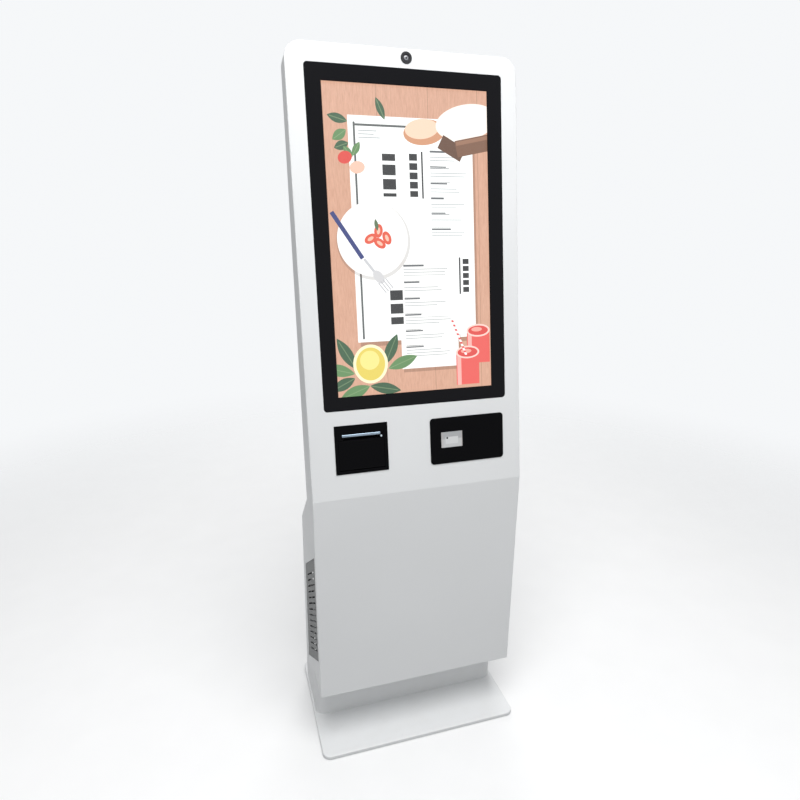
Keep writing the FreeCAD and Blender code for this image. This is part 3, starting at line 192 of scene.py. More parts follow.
def powder_coat(name, colour, gloss=0.42):
    """Baked powder: fine orange peel, a little cloudy, with dust and scuffs near the floor."""
    coat = Finish(name, Specular_IOR_Level=0.45)
    place = coat.place
    height = place.axis("Z")
    peel = place.noise(520.0, 1.5)
    grain = place.noise(3200.0, 1.0)
    cloud = place.noise(3.2, 3.0)
    low_down = 1 - height.ramp(0.01, 0.24)
    scuff_lines = place.stretched(9.0, 9.0, 60.0).noise(6.0, 5.0, 0.7).ramp(0.62, 0.78)
    dust = place.noise(26.0, 4.0, 0.6).ramp(0.35, 0.8)
    shade = tuple(0.93 * part for part in colour)
    dusty = (0.62, 0.60, 0.56)
    tinted = cloud.blend(colour, shade)
    dusted = (dust * low_down * 0.10).blend(tinted, dusty)
    scuffed = (scuff_lines * low_down * 0.12).blend(dusted, (0.42, 0.42, 0.42))
    smudge = place.noise(11.0, 4.0, 0.65).ramp(0.45, 0.75)
    coat.feed(Base_Color=scuffed,
              Roughness=gloss + smudge * 0.09 + dust * low_down * 0.12 + grain * 0.04,
              Normal=(peel * 0.8 + grain * 0.2).bump(0.00006, 0.45))
    return coat


def rubber(name):
    """Black moulded rubber with a dull, slightly chalky skin."""
    skin = Finish(name, Specular_IOR_Level=0.3)
    place = skin.place
    chalk = place.noise(90.0, 4.0, 0.6).ramp(0.4, 0.8)
    skin.feed(Base_Color=chalk.blend((0.014, 0.014, 0.015), (0.035, 0.034, 0.033)),
              Roughness=0.72 + chalk * 0.15,
              Normal=place.noise(1800.0, 2.0).bump(0.0001, 0.5))
    return skin


white_coat = powder_coat("white_powder_coat", (0.80, 0.81, 0.815))
black_rubber = rubber("pad_rubber")
white_coat.on("base_plate")
black_rubber.on("foot_pads")


# ---------------------------------------------------------------------------------------
# Floor pan and the bolts that hold the cabinet to its plate: zinc-plated sheet and
# socket-head screws, seen only through the open rear door.
# ---------------------------------------------------------------------------------------
def zinc_steel(name, tone=(0.56, 0.58, 0.60), wear=0.5):
    """Passivated zinc: a faint spangle, rolling lines and dull fingerprints."""
    metal = Finish(name, Metallic=1.0)
    place = metal.place
    cells = place.node("ShaderNodeTexVoronoi", {"Vector": place, "Scale": 160.0}, output=1)
    spangle = cells.axis("X")
    rolling = place.stretched(1.0, 40.0, 40.0).noise(30.0, 3.0)
    prints = place.noise(18.0, 4.0, 0.6).ramp(0.45, 0.72)
    dark = tuple(0.72 * part for part in tone)
    lit = (spangle * 0.45).blend(tone, dark)
    metal.feed(Base_Color=(prints * wear * 0.4).blend(lit, (0.38, 0.37, 0.35)),
               Roughness=0.30 + spangle * 0.08 + prints * 0.16 + rolling * 0.06,
               Normal=(rolling * 0.7 + spangle * 0.3).bump(0.00004, 0.4))
    return metal


zinc = zinc_steel("zinc_sheet")
zinc.on("floor_pan", "base_bolts")


# ---------------------------------------------------------------------------------------
# Cabinet shell: kick panel and toe cover of the set-back plinth, one-piece front skin that
# bends back into the head, two side plates and the head's back cover. All are 2 mm folded
# sheet, powder coated white.
# ---------------------------------------------------------------------------------------
white_coat.on("kick_panel", "toe_cover", "front_panel", "left_side_plate", "right_side_plate", "head_back")
ease_edges(0.0006, "left_side_plate", "right_side_plate")


# ---------------------------------------------------------------------------------------
# Side grilles: slotted sheet in a dark textured coat, let into the side plates on a slant.
# A speaker with a pulp cone, a rubber surround and a dust cap sits behind each. The grilles' dark grey
# coat is a painted reflection of the dark floor in the glossy side plates.
# ---------------------------------------------------------------------------------------
def textured_coat(name, colour):
    """Dark wrinkle powder: small wrinkles with paler crowns."""
    coat = Finish(name, Specular_IOR_Level=0.4)
    place = coat.place
    wrinkle = place.noise(1100.0, 3.0, 0.6)
    lint = place.noise(60.0, 5.0, 0.7).ramp(0.6, 0.85)
    crown = tuple(1.35 * part for part in colour)
    coat.feed(Base_Color=(lint * 0.25).blend(wrinkle.blend(colour, crown), (0.22, 0.22, 0.22)),
              Roughness=0.50 + wrinkle * 0.15 + lint * 0.1,
              Normal=wrinkle.bump(0.0002, 0.8))
    return coat


def plastic(name, colour, gloss=0.42, depth=0.00006, shine=0.3):
    """Moulded ABS with a spark-eroded grain, rubbed smoother where hands reach it."""
    shell = Finish(name, Specular_IOR_Level=shine)
    place = shell.place
    grain = place.noise(2400.0, 2.0, 0.55)
    rubbed = place.noise(24.0, 3.0, 0.6).ramp(0.5, 0.75)
    lint = place.noise(140.0, 6.0, 0.75).ramp(0.68, 0.8)
    pale = tuple(1.6 * part for part in colour)
    shell.feed(Base_Color=(lint * 0.2).blend(grain.blend(colour, pale), (0.10, 0.10, 0.105)),
               Roughness=gloss - rubbed * 0.07 + lint * 0.2 + grain * 0.05,
               Normal=grain.bump(depth, 0.5))
    return shell


def new_piece(name, mesh_maker, body, finish, smooth=True):
    """A built piece: its mesh from a bmesh filler, its body and its finish."""
    mesh = bpy.data.meshes.new(name)
    shape = bmesh.new()
    mesh_maker(shape)
    bmesh.ops.remove_doubles(shape, verts=shape.verts, dist=1e-7)
    bmesh.ops.recalc_face_normals(shape, faces=shape.faces)
    shape.to_mesh(mesh)
    shape.free()
    if smooth:
        mesh.shade_smooth()
        mesh.set_sharp_from_angle(angle=math.radians(35))
    piece = bpy.data.objects.new(name, mesh)
    bpy.context.scene.collection.objects.link(piece)
    finish.on(piece)
    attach(piece, body)
    return piece


def turned(shape, outline, place, steps=64):
    """Revolve an outline of (radius, height) about the z axis of a place."""
    rings = []
    for radius, height in outline:
        if radius < 1e-6:
            rings.append([shape.verts.new(place @ Vector((0, 0, height)))] * steps)
            continue
        angles = [2 * math.pi * step / steps for step in range(steps)]
        rings.append([shape.verts.new(place @ Vector((radius * math.cos(a), radius * math.sin(a), height)))
                      for a in angles])
    for low, high in zip(rings, rings[1:]):
        for step in range(steps):
            after = (step + 1) % steps
            corners = [low[step], low[after], high[after], high[step]]
            unique = list(dict.fromkeys(corners))
            if len(unique) > 2:
                shape.faces.new(unique)


# The grilles are built parts, and their dark grey colour is a painted reflection of the dark floor in the
# side plates.
grille_painted_reflection_coat = textured_coat("grille_grey", (0.16, 0.165, 0.165))
grille_painted_reflection_coat.on("left_side_grille", "right_side_grille")
ease_edges(0.0004, "left_side_grille", "right_side_grille")
black_plastic = plastic("black_plastic", (0.016, 0.016, 0.018))
black_plastic.on("speakers")


def pulp_cone(name):
    """Pressed paper pulp, grey-black, with fibres."""
    pulp = Finish(name, Specular_IOR_Level=0.25)
    place = pulp.place
    fibre = place.noise(700.0, 5.0, 0.7)
    pulp.feed(Base_Color=fibre.blend((0.03, 0.03, 0.032), (0.075, 0.073, 0.07)),
              Roughness=0.7 + fibre * 0.2, Normal=fibre.bump(0.0001, 0.8))
    return pulp


cone_pulp = pulp_cone("speaker_pulp")
cones_low, cones_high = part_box("speaker_cones")
cone_radius = (cones_high.z - cones_low.z) / 2
cone_depth, cone_play = 0.0038, 0.0003
surround_width, surround_foot, surround_rise, surround_steps = 0.0055, 0.55, 0.42, 8
cap_radius, cap_foot, cap_rise, cap_steps = 0.009, 0.0008, 0.0022, 6
for side, face_x in (("left", cones_low.x), ("right", cones_high.x)):
    outward = 1 if side == "right" else -1
    middle = Vector((face_x - outward * cone_depth, (cones_low.y + cones_high.y) / 2,
                     (cones_low.z + cones_high.z) / 2))
    facing = Matrix.Translation(middle) @ Matrix.Rotation(outward * math.pi / 2, 4, "Y")
    rim = cone_radius - cone_play
    surround = [(rim - surround_width * share,
                 cone_depth * (surround_foot + surround_rise * math.sin(math.pi * share)))
                for share in (step / surround_steps for step in range(surround_steps + 1))]
    dust_cap = [(cap_radius * math.cos(turn), cap_foot + cap_rise * math.sin(turn))
                for turn in (math.pi / 2 * step / cap_steps for step in range(cap_steps + 1))]
    outline = [(0.0, 0.0), (rim, 0.0), *surround, (cap_radius + 0.0005, cap_foot - 0.0002), *dust_cap]
    cone = new_piece("speaker_cone_" + side, lambda shape: turned(shape, outline, facing), "cabinet",
                     cone_pulp)
    if side == "left":
        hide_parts("speaker_cones")


# ---------------------------------------------------------------------------------------
# Sloped top of the cabinet with its fan. The fan is a moulded plastic frame with a hub on
# four spokes; its rotor has seven swept blades on a cup that turns on the hub.
# ---------------------------------------------------------------------------------------
white_coat.on("slope_panel")
ease_edges(0.0006, "slope_panel")
black_plastic.on("fan_frame")
joints = {joint["name"]: joint for joint in frame["joints"]}
fan_joint = joints["fan_turn"]
fan_axis = Vector(fan_joint["axis"]).normalized()
fan_turn = Vector((0, 0, 1)).rotation_difference(fan_axis).to_matrix().to_4x4()
fan_centre = Vector(fan_joint["pos_m"])
rotor_points = [fan_turn.inverted() @ (vertex.co - fan_centre)
                for vertex in frame["nodes"]["fan_rotor"].data.vertices]
rotor_low = min(point.z for point in rotor_points)
rotor_high = max(point.z for point in rotor_points)
rotor_radius = max(point.xy.length for point in rotor_points) - 0.0004
hub_radius, hub_rim, hub_dish = 0.015, 0.0015, 0.0006
blade_count, blade_steps, blade_thickness = 7, 8, 0.0012
blade_root = 0.001
blade_sweep, blade_chord, chord_taper = 0.35, 0.72, 0.16
blade_camber, blade_foot, blade_room = 0.0011, 0.002, 0.0052


def fill_rotor(shape):
    """The cup of the rotor and its swept, pitched blades."""
    place = Matrix.Translation(fan_centre) @ fan_turn
    height = rotor_high - rotor_low
    cup = [(0.0, rotor_low), (hub_radius - hub_rim, rotor_low), (hub_radius, rotor_low + hub_rim),
           (hub_radius, rotor_high - hub_rim), (hub_radius - hub_rim, rotor_high),
           (hub_radius * 0.72, rotor_high), (hub_radius * 0.68, rotor_high - hub_dish),
           (hub_radius * 0.2, rotor_high - hub_dish), (0.0, rotor_high - hub_dish / 2)]
    turned(shape, cup, place, 48)
    for blade in range(blade_count):
        sheets = []
        for lift in (0.0, blade_thickness):
            grid = []
            for out in range(blade_steps + 1):
                share = out / blade_steps
                radius = hub_radius - blade_root + (rotor_radius - hub_radius + blade_root) * share
                sweep = 2 * math.pi * blade / blade_count + blade_sweep * share ** 1.5
                chord = blade_chord - chord_taper * share
                row = []
                for along in range(blade_steps + 1):
                    part = along / blade_steps
                    angle = sweep + chord * (part - 0.5)
                    camber = blade_camber * math.sin(math.pi * part)
                    z = rotor_low + blade_foot + (height - blade_room) * part + camber + lift
                    spot = Vector((radius * math.cos(angle), radius * math.sin(angle), z))
                    row.append(shape.verts.new(place @ spot))
                grid.append(row)
            sheets.append(grid)
        for grid in sheets:
            for out in range(blade_steps):
                for along in range(blade_steps):
                    shape.faces.new((grid[out][along], grid[out + 1][along],
                                     grid[out + 1][along + 1], grid[out][along + 1]))
        low, high = sheets
        rim_spots = ([(0, k) for k in range(blade_steps)]
                     + [(k, blade_steps) for k in range(blade_steps)]
                     + [(blade_steps, blade_steps - k) for k in range(blade_steps)]
                     + [(blade_steps - k, 0) for k in range(blade_steps)])
        for spot, after in zip(rim_spots, rim_spots[1:] + rim_spots[:1]):
            shape.faces.new((low[spot[0]][spot[1]], low[after[0]][after[1]],
                             high[after[0]][after[1]], high[spot[0]][spot[1]]))


rotor = new_piece("fan_rotor_blades", fill_rotor, "fan_rotor", black_plastic)
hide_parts("fan_rotor")


# ---------------------------------------------------------------------------------------
# Rear sill with the mains inlet: a moulded socket with three brass blades and a rocker
# switch, screwed into the folded white sill.
# ---------------------------------------------------------------------------------------
def machined(name, colour, gloss=0.2):
    """Turned or rolled metal with fine tool lines and a light tarnish."""
    metal = Finish(name, Metallic=1.0)
    place = metal.place
    lines = place.stretched(1.0, 1.0, 60.0).noise(120.0, 2.0)
    tarnish = place.noise(70.0, 4.0, 0.6).ramp(0.5, 0.8)
    dull = tuple(0.55 * part for part in colour)
    metal.feed(Base_Color=(tarnish * 0.5).blend(colour, dull),
               Roughness=gloss + lines * 0.08 + tarnish * 0.18,
               Normal=lines.bump(0.00002, 0.5))
    return metal


white_coat.on("rear_sill")
ease_edges(0.0006, "rear_sill")
black_plastic.on("power_inlet", "power_rocker")
brass = machined("blade_brass", (0.78, 0.60, 0.28))
brass.on("inlet_blades")


# ---------------------------------------------------------------------------------------
# Equipment shelf with a finned fanless computer and a slotted power supply. The computer
# shows its rear connectors and its round power button.
# ---------------------------------------------------------------------------------------
def anodised(name, colour):
    """Dark anodised extrusion, brushed along X."""
    metal = Finish(name, Metallic=0.85)
    place = metal.place
    brushed = place.stretched(3.0, 140.0, 140.0).noise(22.0, 3.0)
    print_smudge = place.noise(30.0, 3.0, 0.6).ramp(0.5, 0.75)
    pale = tuple(1.6 * part for part in colour)
    metal.feed(Base_Color=brushed.blend(colour, pale),
               Roughness=0.34 + brushed * 0.1 + print_smudge * 0.12,
               Normal=brushed.bump(0.00003, 0.5))
    return metal


zinc.on("equipment_shelf", "power_supply")
ease_edges(0.0005, "equipment_shelf", "power_supply")
computer_case = anodised("computer_case", (0.055, 0.057, 0.062))
computer_case.on("computer")
ease_edges(0.0008, "computer")
button_metal = machined("button_steel", (0.60, 0.61, 0.62))
button_metal.on("computer_button")

case_low, case_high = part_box("computer")
port_width, port_height, port_depth = 0.016, 0.009, 0.0016
port_count, first_port, port_pitch, port_rise = 6, 0.018, 0.021, 0.016
port_rim, port_floor = 0.0012, 0.0004


def fill_ports(shape):
    """A row of framed connector mouths along the computer's rear."""
    for column in range(port_count):
        x = case_low.x + first_port + column * port_pitch
        z = case_low.z + port_rise
        wide = port_width if column % 3 else port_width * 0.8
        rings = []
        for grow, out in ((port_rim, 0.0), (port_rim, port_depth), (0.0, port_depth), (0.0, port_floor)):
            half_x, half_z = wide / 2 + grow, port_height / 2 + grow
            ring = [shape.verts.new((x + half_x * sx, case_high.y + out, z + half_z * sz))
                    for sx, sz in ((-1, -1), (1, -1), (1, 1), (-1, 1))]
            rings.append(ring)
        for low, high in zip(rings, rings[1:]):
            for k in range(4):
                shape.faces.new((low[k], low[(k + 1) % 4], high[(k + 1) % 4], high[k]))
        shape.faces.new(rings[-1])
        shape.faces.new(rings[0])


new_piece("computer_ports", fill_ports, "cabinet", button_metal, smooth=False)


# ---------------------------------------------------------------------------------------
# Rear service door: a shallow white tray with two rows of louvre slots. It hangs on two
# lift-off hinges, coated with it but for their zinc pins, and closes with a cam lock that
# has a chromed housing and plug.
# ---------------------------------------------------------------------------------------
white_coat.on("rear_door", "hinge_leaves", "hinge_knuckles")
ease_edges(0.0006, "rear_door")
zinc.on("hinge_pins", "lock_keeper", "lock_cam")
chrome = machined("lock_chrome", (0.74, 0.75, 0.76), 0.12)
chrome.on("lock_housing", "lock_plug")


# ---------------------------------------------------------------------------------------
# Head frame and display: zinc uprights and straps, the LCD in its tray with a driver box,
# a foam gasket, and 4 mm touch glass with a black border printed on its back.
# ---------------------------------------------------------------------------------------
HEAD_LEAN = math.radians(8.9)
BEND_HEIGHT = 0.75
BEND = Vector((0.0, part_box("front_panel")[0].y, BEND_HEIGHT))
ALONG_SKIN = Vector((0.0, math.sin(HEAD_LEAN), math.cos(HEAD_LEAN)))
INTO_SKIN = Vector((0.0, math.cos(HEAD_LEAN), -math.sin(HEAD_LEAN)))


def on_head(across, up, behind=0.0):
    """A point of the head: across from its middle, up its slope from the bend, behind its skin."""
    return BEND + Vector((across, 0, 0)) + ALONG_SKIN * up + INTO_SKIN * behind


def up_the_head(place):
    """The wire of a place's distance up the head's slope from the bend."""
    return place.node("ShaderNodeVectorMath", {0: place - tuple(BEND), 1: tuple(ALONG_SKIN)}, output=1,
                      operation="DOT_PRODUCT")


zinc.on("head_uprights", "display_straps", "lcd_tray", "display_driver")
black_rubber.on("display_gasket")

PICTURE_WIDTH, PICTURE_HEIGHT = 0.3984, 0.7084
PICTURE_BOTTOM = 0.2522
GLASS_WIDTH, GLASS_HEIGHT = 0.472, 0.778
GLASS_BOTTOM = 0.219
PRINT_GAP = 0.0008
BEAD_GAP, BEAD_PLAY, BEAD_CORNER, CORNER_STEP = 0.0008, 0.0002, 0.0084, 0.0003
BEAD_DEPTH, BEAD_SHOULDER, BEAD_CROWN = 0.0030, 0.0009, 0.00055


class Picture:
    """The lit picture: flat shapes painted one over another, placed in shares of its size."""

    def __init__(self, glow):
        self.place = glow.place
        self.x = glow.place.axis("X") + PICTURE_WIDTH / 2
        self.y = up_the_head(glow.place) - PICTURE_BOTTOM
        self.colour = None

    def paint(self, mask, colour):
        self.colour = mask.blend(self.colour, colour)

    def box(self, left, right, low, high):
        """1 inside an upright rectangle."""
        half_x, half_y = (right - left) * PICTURE_WIDTH / 2, (high - low) * PICTURE_HEIGHT / 2
        from_x = abs(self.x - (left + right) / 2 * PICTURE_WIDTH)
        from_y = abs(self.y - (low + high) / 2 * PICTURE_HEIGHT)
        return (from_x < half_x) * (from_y < half_y)

    def turned_to(self, x, y, degrees):
        """Wires along and across a direction, from a point."""
        cosine, sine = math.cos(math.radians(degrees)), math.sin(math.radians(degrees))
        dx, dy = self.x - x * PICTURE_WIDTH, self.y - y * PICTURE_HEIGHT
        return dx * cosine + dy * sine, dy * cosine - dx * sine

    def oval(self, x, y, long, wide, degrees=0):
        """1 inside an oval; long and wide are half sizes as shares of the width."""
        along, across = self.turned_to(x, y, degrees)
        along, across = along / (long * PICTURE_WIDTH), across / (wide * PICTURE_WIDTH)
        return (along * along + across * across) < 1.0

    def leaf(self, x, y, long, wide, degrees):
        """1 inside a pointed leaf whose stalk is at the point."""
        along, across = self.turned_to(x, y, degrees)
        along = along / (long * PICTURE_WIDTH) * 2 - 1
        limit = (1 - along * along) * (wide * PICTURE_WIDTH)
        return abs(across) < limit

    def bar(self, x, y, long, wide, degrees):
        """1 inside a straight bar that starts at the point."""
        along, across = self.turned_to(x, y, degrees)
        middle = long * PICTURE_WIDTH / 2
        return (abs(along - middle) < middle) * (abs(across) < wide * PICTURE_WIDTH / 2)

    def lines(self, left, right, low, high, pitch, share):
        """1 on ragged rows of lines that stand for text."""
        row = self.y.rest_of(pitch) / pitch
        level = self.y - self.y.rest_of(pitch)
        ragged = self.place.node("ShaderNodeTexWhiteNoise", {"W": level * 91.7 + left},
                                 noise_dimensions="1D")
        reach = (right - left) * PICTURE_WIDTH * (0.62 + ragged * 0.38)
        written = (self.x - left * PICTURE_WIDTH) < reach
        return self.box(left, right, low, high) * (row < share) * written


def lit_screen():
    """A picture of a menu card on a plank table, with a plate, fruit and two drinks."""
    glow = Finish("screen_glow", Base_Color=(0.01, 0.01, 0.01, 1.0), Roughness=0.4,
                  Emission_Strength=1.3)
    page = Picture(glow)
    grain = glow.place.stretched(24.0, 3.0, 3.0).noise(14.0, 5.0, 0.65)
    streak = glow.place.stretched(70.0, 2.0, 2.0).noise(20.0, 3.0, 0.6).ramp(0.55, 0.75)
    page.colour = grain.blend((0.47, 0.23, 0.145), (0.76, 0.46, 0.33))
    page.paint(streak * 0.35, (0.26, 0.11, 0.065))
    plank = page.x.rest_of(PICTURE_WIDTH / 3.2) < 0.0012
    page.paint(plank * 0.5, (0.20, 0.09, 0.05))
    card, card_low = (0.95, 0.97, 0.96), (0.93, 0.93, 0.91)
    page.paint(page.box(0.155, 0.92, 0.165, 0.895) * 0.45, (0.16, 0.07, 0.04))
    page.paint(page.box(0.14, 0.905, 0.18, 0.905), card)
    page.paint(page.box(0.42, 0.80, 0.068, 0.19) * 0.45, (0.16, 0.07, 0.04))
    page.paint(page.box(0.41, 0.785, 0.08, 0.45), card_low)
    ink, text = (0.02, 0.022, 0.024), (0.42, 0.45, 0.46)
    page.paint(page.box(0.17, 0.182, 0.19, 0.885), (0.10, 0.11, 0.11))
    page.paint(page.box(0.17, 0.62, 0.873, 0.880), (0.10, 0.11, 0.11))
    page.paint(page.lines(0.20, 0.33, 0.835, 0.865, 0.0075, 0.3), text)
    for left, right, low, high, step in (
            (0.335, 0.415, 0.655, 0.79, 0.032), (0.35, 0.43, 0.235, 0.36, 0.032),
            (0.50, 0.55, 0.655, 0.80, 0.021), (0.825, 0.865, 0.335, 0.45, 0.017)):
        blocks = (page.y.rest_of(step) / step) < 0.74
        page.paint(page.box(left, right, low, high) * blocks, ink)
    for left, low, high in ((0.575, 0.65, 0.80), (0.80, 0.33, 0.455)):
        page.paint(page.box(left, left + 0.01, low, high), ink)
    for row in range(6):
        top = 0.805 - row * 0.05
        page.paint(page.lines(0.63, 0.76, top - 0.008, top, 0.0056, 0.8), (0.12, 0.13, 0.14))
        page.paint(page.lines(0.63, 0.88, top - 0.034, top - 0.014, 0.0072, 0.26), text)
        top = 0.435 - row * 0.055
        page.paint(page.lines(0.44, 0.58, top - 0.008, top, 0.0056, 0.8), (0.12, 0.13, 0.14))
        page.paint(page.lines(0.44, 0.74, top - 0.038, top - 0.014, 0.0072, 0.26), text)

    page.paint(page.oval(0.265, 0.512, 0.225, 0.225) * 0.35, (0.14, 0.08, 0.06))
    page.paint(page.oval(0.26, 0.518, 0.215, 0.215), (0.93, 0.92, 0.91))
    page.paint(page.oval(0.262, 0.517, 0.150, 0.150), (0.82, 0.81, 0.80))
    page.paint(page.oval(0.26, 0.519, 0.146, 0.146), (0.97, 0.97, 0.965))
    for x, y, turn in ((0.245, 0.520, 30), (0.300, 0.505, -35), (0.345, 0.522, -70), (0.295, 0.545, 80)):
        page.paint(page.oval(x, y, 0.040, 0.026, turn), (0.70, 0.10, 0.055))
        page.paint(page.oval(x, y, 0.020, 0.010, turn), (0.93, 0.50, 0.38))
    page.paint(page.leaf(0.29, 0.545, 0.07, 0.012, 100), (0.10, 0.16, 0.08))
    page.paint(page.bar(0.02, 0.605, 0.315, 0.026, -57), (0.035, 0.05, 0.19))
    page.paint(page.bar(0.20, 0.455, 0.13, 0.016, -52), (0.55, 0.56, 0.58))
    page.paint(page.oval(0.285, 0.395, 0.045, 0.028, -52), (0.60, 0.60, 0.61))
    for tine in (-0.022, -0.0075, 0.0075, 0.022):
        page.paint(page.bar(0.303 + tine, 0.383 + tine * 0.35, 0.075, 0.007, -52), (0.50, 0.50, 0.52))

    deep, fresh = (0.035, 0.10, 0.045), (0.11, 0.24, 0.09)
    for x, y, long, wide, turn, tone in (
            (0.14, 0.885, 0.12, 0.026, 165, deep), (0.13, 0.86, 0.10, 0.028, 215, fresh),
            (0.14, 0.82, 0.09, 0.026, 200, deep), (0.36, 0.895, 0.13, 0.022, 112, deep),
            (0.16, 0.78, 0.09, 0.02, 60, fresh), (0.16, 0.775, 0.08, 0.02, 130, fresh),
            (0.30, 0.10, 0.20, 0.036, 65, deep), (0.32, 0.085, 0.20, 0.036, 20, fresh),
            (0.12, 0.09, 0.22, 0.036, 120, deep), (0.11, 0.075, 0.20, 0.036, 165, fresh),
            (0.11, 0.06, 0.16, 0.034, 205, deep), (0.20, 0.03, 0.20, 0.038, 200, fresh),
            (0.20, 0.03, 0.20, 0.034, -12, deep)):
        page.paint(page.leaf(x, y, long, wide, turn), tone)
        page.paint(page.bar(x, y, long * 0.9, 0.004, turn) * 0.5, (0.30, 0.42, 0.22))
    page.paint(page.oval(0.115, 0.775, 0.042, 0.034, 20), (0.66, 0.06, 0.045))
    page.paint(page.oval(0.185, 0.745, 0.045, 0.034, 10), (0.90, 0.52, 0.40))
    page.paint(page.oval(0.21, 0.105, 0.108, 0.118), (0.90, 0.84, 0.55))
    page.paint(page.oval(0.21, 0.105, 0.090, 0.100), (0.72, 0.58, 0.10))
    page.paint(page.oval(0.205, 0.118, 0.060, 0.058), (0.86, 0.74, 0.24))

    page.paint(page.oval(0.60, 0.862, 0.13, 0.072, 8), (0.60, 0.29, 0.16))
    page.paint(page.oval(0.585, 0.872, 0.105, 0.056, 8), (0.88, 0.62, 0.46))
    page.paint(page.oval(0.87, 0.90, 0.20, 0.10, 12), (0.93, 0.86, 0.80))
    page.paint(page.oval(0.80, 0.89, 0.11, 0.06, 20), (0.97, 0.93, 0.90))
    page.paint(page.bar(0.70, 0.835, 0.16, 0.085, -28), (0.12, 0.055, 0.03))
    page.paint(page.bar(0.80, 0.812, 0.26, 0.095, 12), (0.19, 0.09, 0.05))
    page.paint(page.bar(0.80, 0.829, 0.26, 0.022, 12), (0.30, 0.15, 0.09))

    for x, low, high in ((0.92, 0.085, 0.20), (0.845, 0.01, 0.125)):
        page.paint(page.box(x - 0.078, x + 0.078, low, high), (0.74, 0.10, 0.085))
        page.paint(page.box(x - 0.072, x - 0.045, low, high), (0.92, 0.42, 0.38))
        page.paint(page.oval(x, high, 0.080, 0.040), (0.93, 0.60, 0.54))
        page.paint(page.oval(x, high, 0.068, 0.030), (0.66, 0.06, 0.05))
        page.paint(page.oval(x - 0.01, high + 0.004, 0.036, 0.014), (0.88, 0.36, 0.30))
    straw = page.bar(0.835, 0.115, 0.24, 0.014, 112)
    page.paint(straw, (0.95, 0.93, 0.92))
    page.paint(straw * (page.y.rest_of(0.011) < 0.005), (0.70, 0.08, 0.08))
    haze = glow.place.noise(2.0, 1.0)
    glow.feed(Emission_Color=(haze * 0.06).blend(page.colour, (1.0, 1.0, 1.0)))
    return glow


screen_glow = lit_screen()
screen_glow.on("lcd_screen")


def printed_glass():
    """Clear glass over the picture; the black border print starts just outside it."""
    glass = Finish("touch_glass", Specular_IOR_Level=0.18)
    across = abs(glass.place.axis("X"))
    up = abs(up_the_head(glass.place) - (PICTURE_BOTTOM + PICTURE_HEIGHT / 2))
    outside = (across > PICTURE_WIDTH / 2 + PRINT_GAP).most(up > PICTURE_HEIGHT / 2 + PRINT_GAP)
    fingers = glass.place.noise(34.0, 4.0, 0.65).ramp(0.5, 0.8)
    print_tone = glass.place.noise(900.0, 1.0)
    glass.feed(Base_Color=print_tone.blend((0.004, 0.004, 0.005), (0.009, 0.009, 0.011)),
               Roughness=0.10 + fingers * 0.07,
               Alpha=0.035 + outside * 0.965)
    return glass


printed_glass().on("touch_glass")


def rounded_frame(width, height, corner, steps=10):
    """Points around a rectangle with round corners, centred on nothing."""
    points = []
    for quarter, (sx, sy) in enumerate(((1, 1), (-1, 1), (-1, -1), (1, -1))):
        for step in range(steps + 1):
            angle = math.pi / 2 * (quarter + step / steps)
            points.append((sx * (width / 2 - corner) + corner * math.cos(angle),
                           sy * (height / 2 - corner) + corner * math.sin(angle)))
    return points


def fill_bead(shape):
    """A soft bead that fills the gap between the glass and the skin."""
    middle = GLASS_BOTTOM + GLASS_HEIGHT / 2
    inner, path, outer = (
        rounded_frame(GLASS_WIDTH + grow, GLASS_HEIGHT + grow, corner)
        for grow, corner in ((BEAD_PLAY, BEAD_CORNER - CORNER_STEP), (BEAD_GAP, BEAD_CORNER),
                             (2 * BEAD_GAP - BEAD_PLAY, BEAD_CORNER + CORNER_STEP)))
    rings = []
    for points, behind in ((inner, BEAD_DEPTH), (inner, BEAD_SHOULDER), (path, BEAD_CROWN),
                           (outer, BEAD_SHOULDER), (outer, BEAD_DEPTH)):
        rings.append([shape.verts.new(on_head(x, middle + y, behind)) for x, y in points])
    count = len(path)
    for low, high in zip(rings, rings[1:] + rings[:1]):
        for k in range(count):
            shape.faces.new((low[k], low[(k + 1) % count], high[(k + 1) % count], high[k]))


new_piece("glass_bead", fill_bead, "cabinet", black_rubber)


# ---------------------------------------------------------------------------------------
# Camera over the screen: a black trim ring, and behind it a lens barrel with
# stepped baffles and a small domed glass.
# ---------------------------------------------------------------------------------------
black_plastic.on("camera_ring", "camera_box")
window_low, window_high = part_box("camera_window")
lens_radius = (window_high.x - window_low.x) / 2 - 0.0001
lens_face, lens_back = 0.0005, -0.002
first_step, second_step = 0.0006, 0.0011
dome_share, dome_foot, dome_rise, dome_steps = 0.62, 0.0010, 0.0009, 6
camera_up = ((window_low + window_high) / 2 - BEND).dot(ALONG_SKIN)


def lens_glass():
    """A coated lens: dark glass in the middle, a silver-grey iris ring and black baffles."""
    lens = Finish("lens_glass", Specular_IOR_Level=0.6, Coat_Weight=0.8, Coat_Roughness=0.04)
    across = lens.place.axis("X")
    up = up_the_head(lens.place) - camera_up
    radius = (across * across + up * up) ** 0.5
    iris = (radius < lens_radius * dome_share) * (radius > lens_radius * 0.30)
    ring = (radius < lens_radius * 0.80) * (radius > lens_radius * 0.74)
    flecks = lens.place.noise(900.0, 3.0)
    tone = iris.blend((0.012, 0.012, 0.016), (0.30, 0.31, 0.33))
    ringed = ring.blend(tone, (0.16, 0.16, 0.17))
    lens.feed(Base_Color=(flecks * 0.25).blend(ringed, (0.05, 0.045, 0.07)),
              Roughness=0.14 + iris * 0.22 + flecks * 0.05)
    return lens


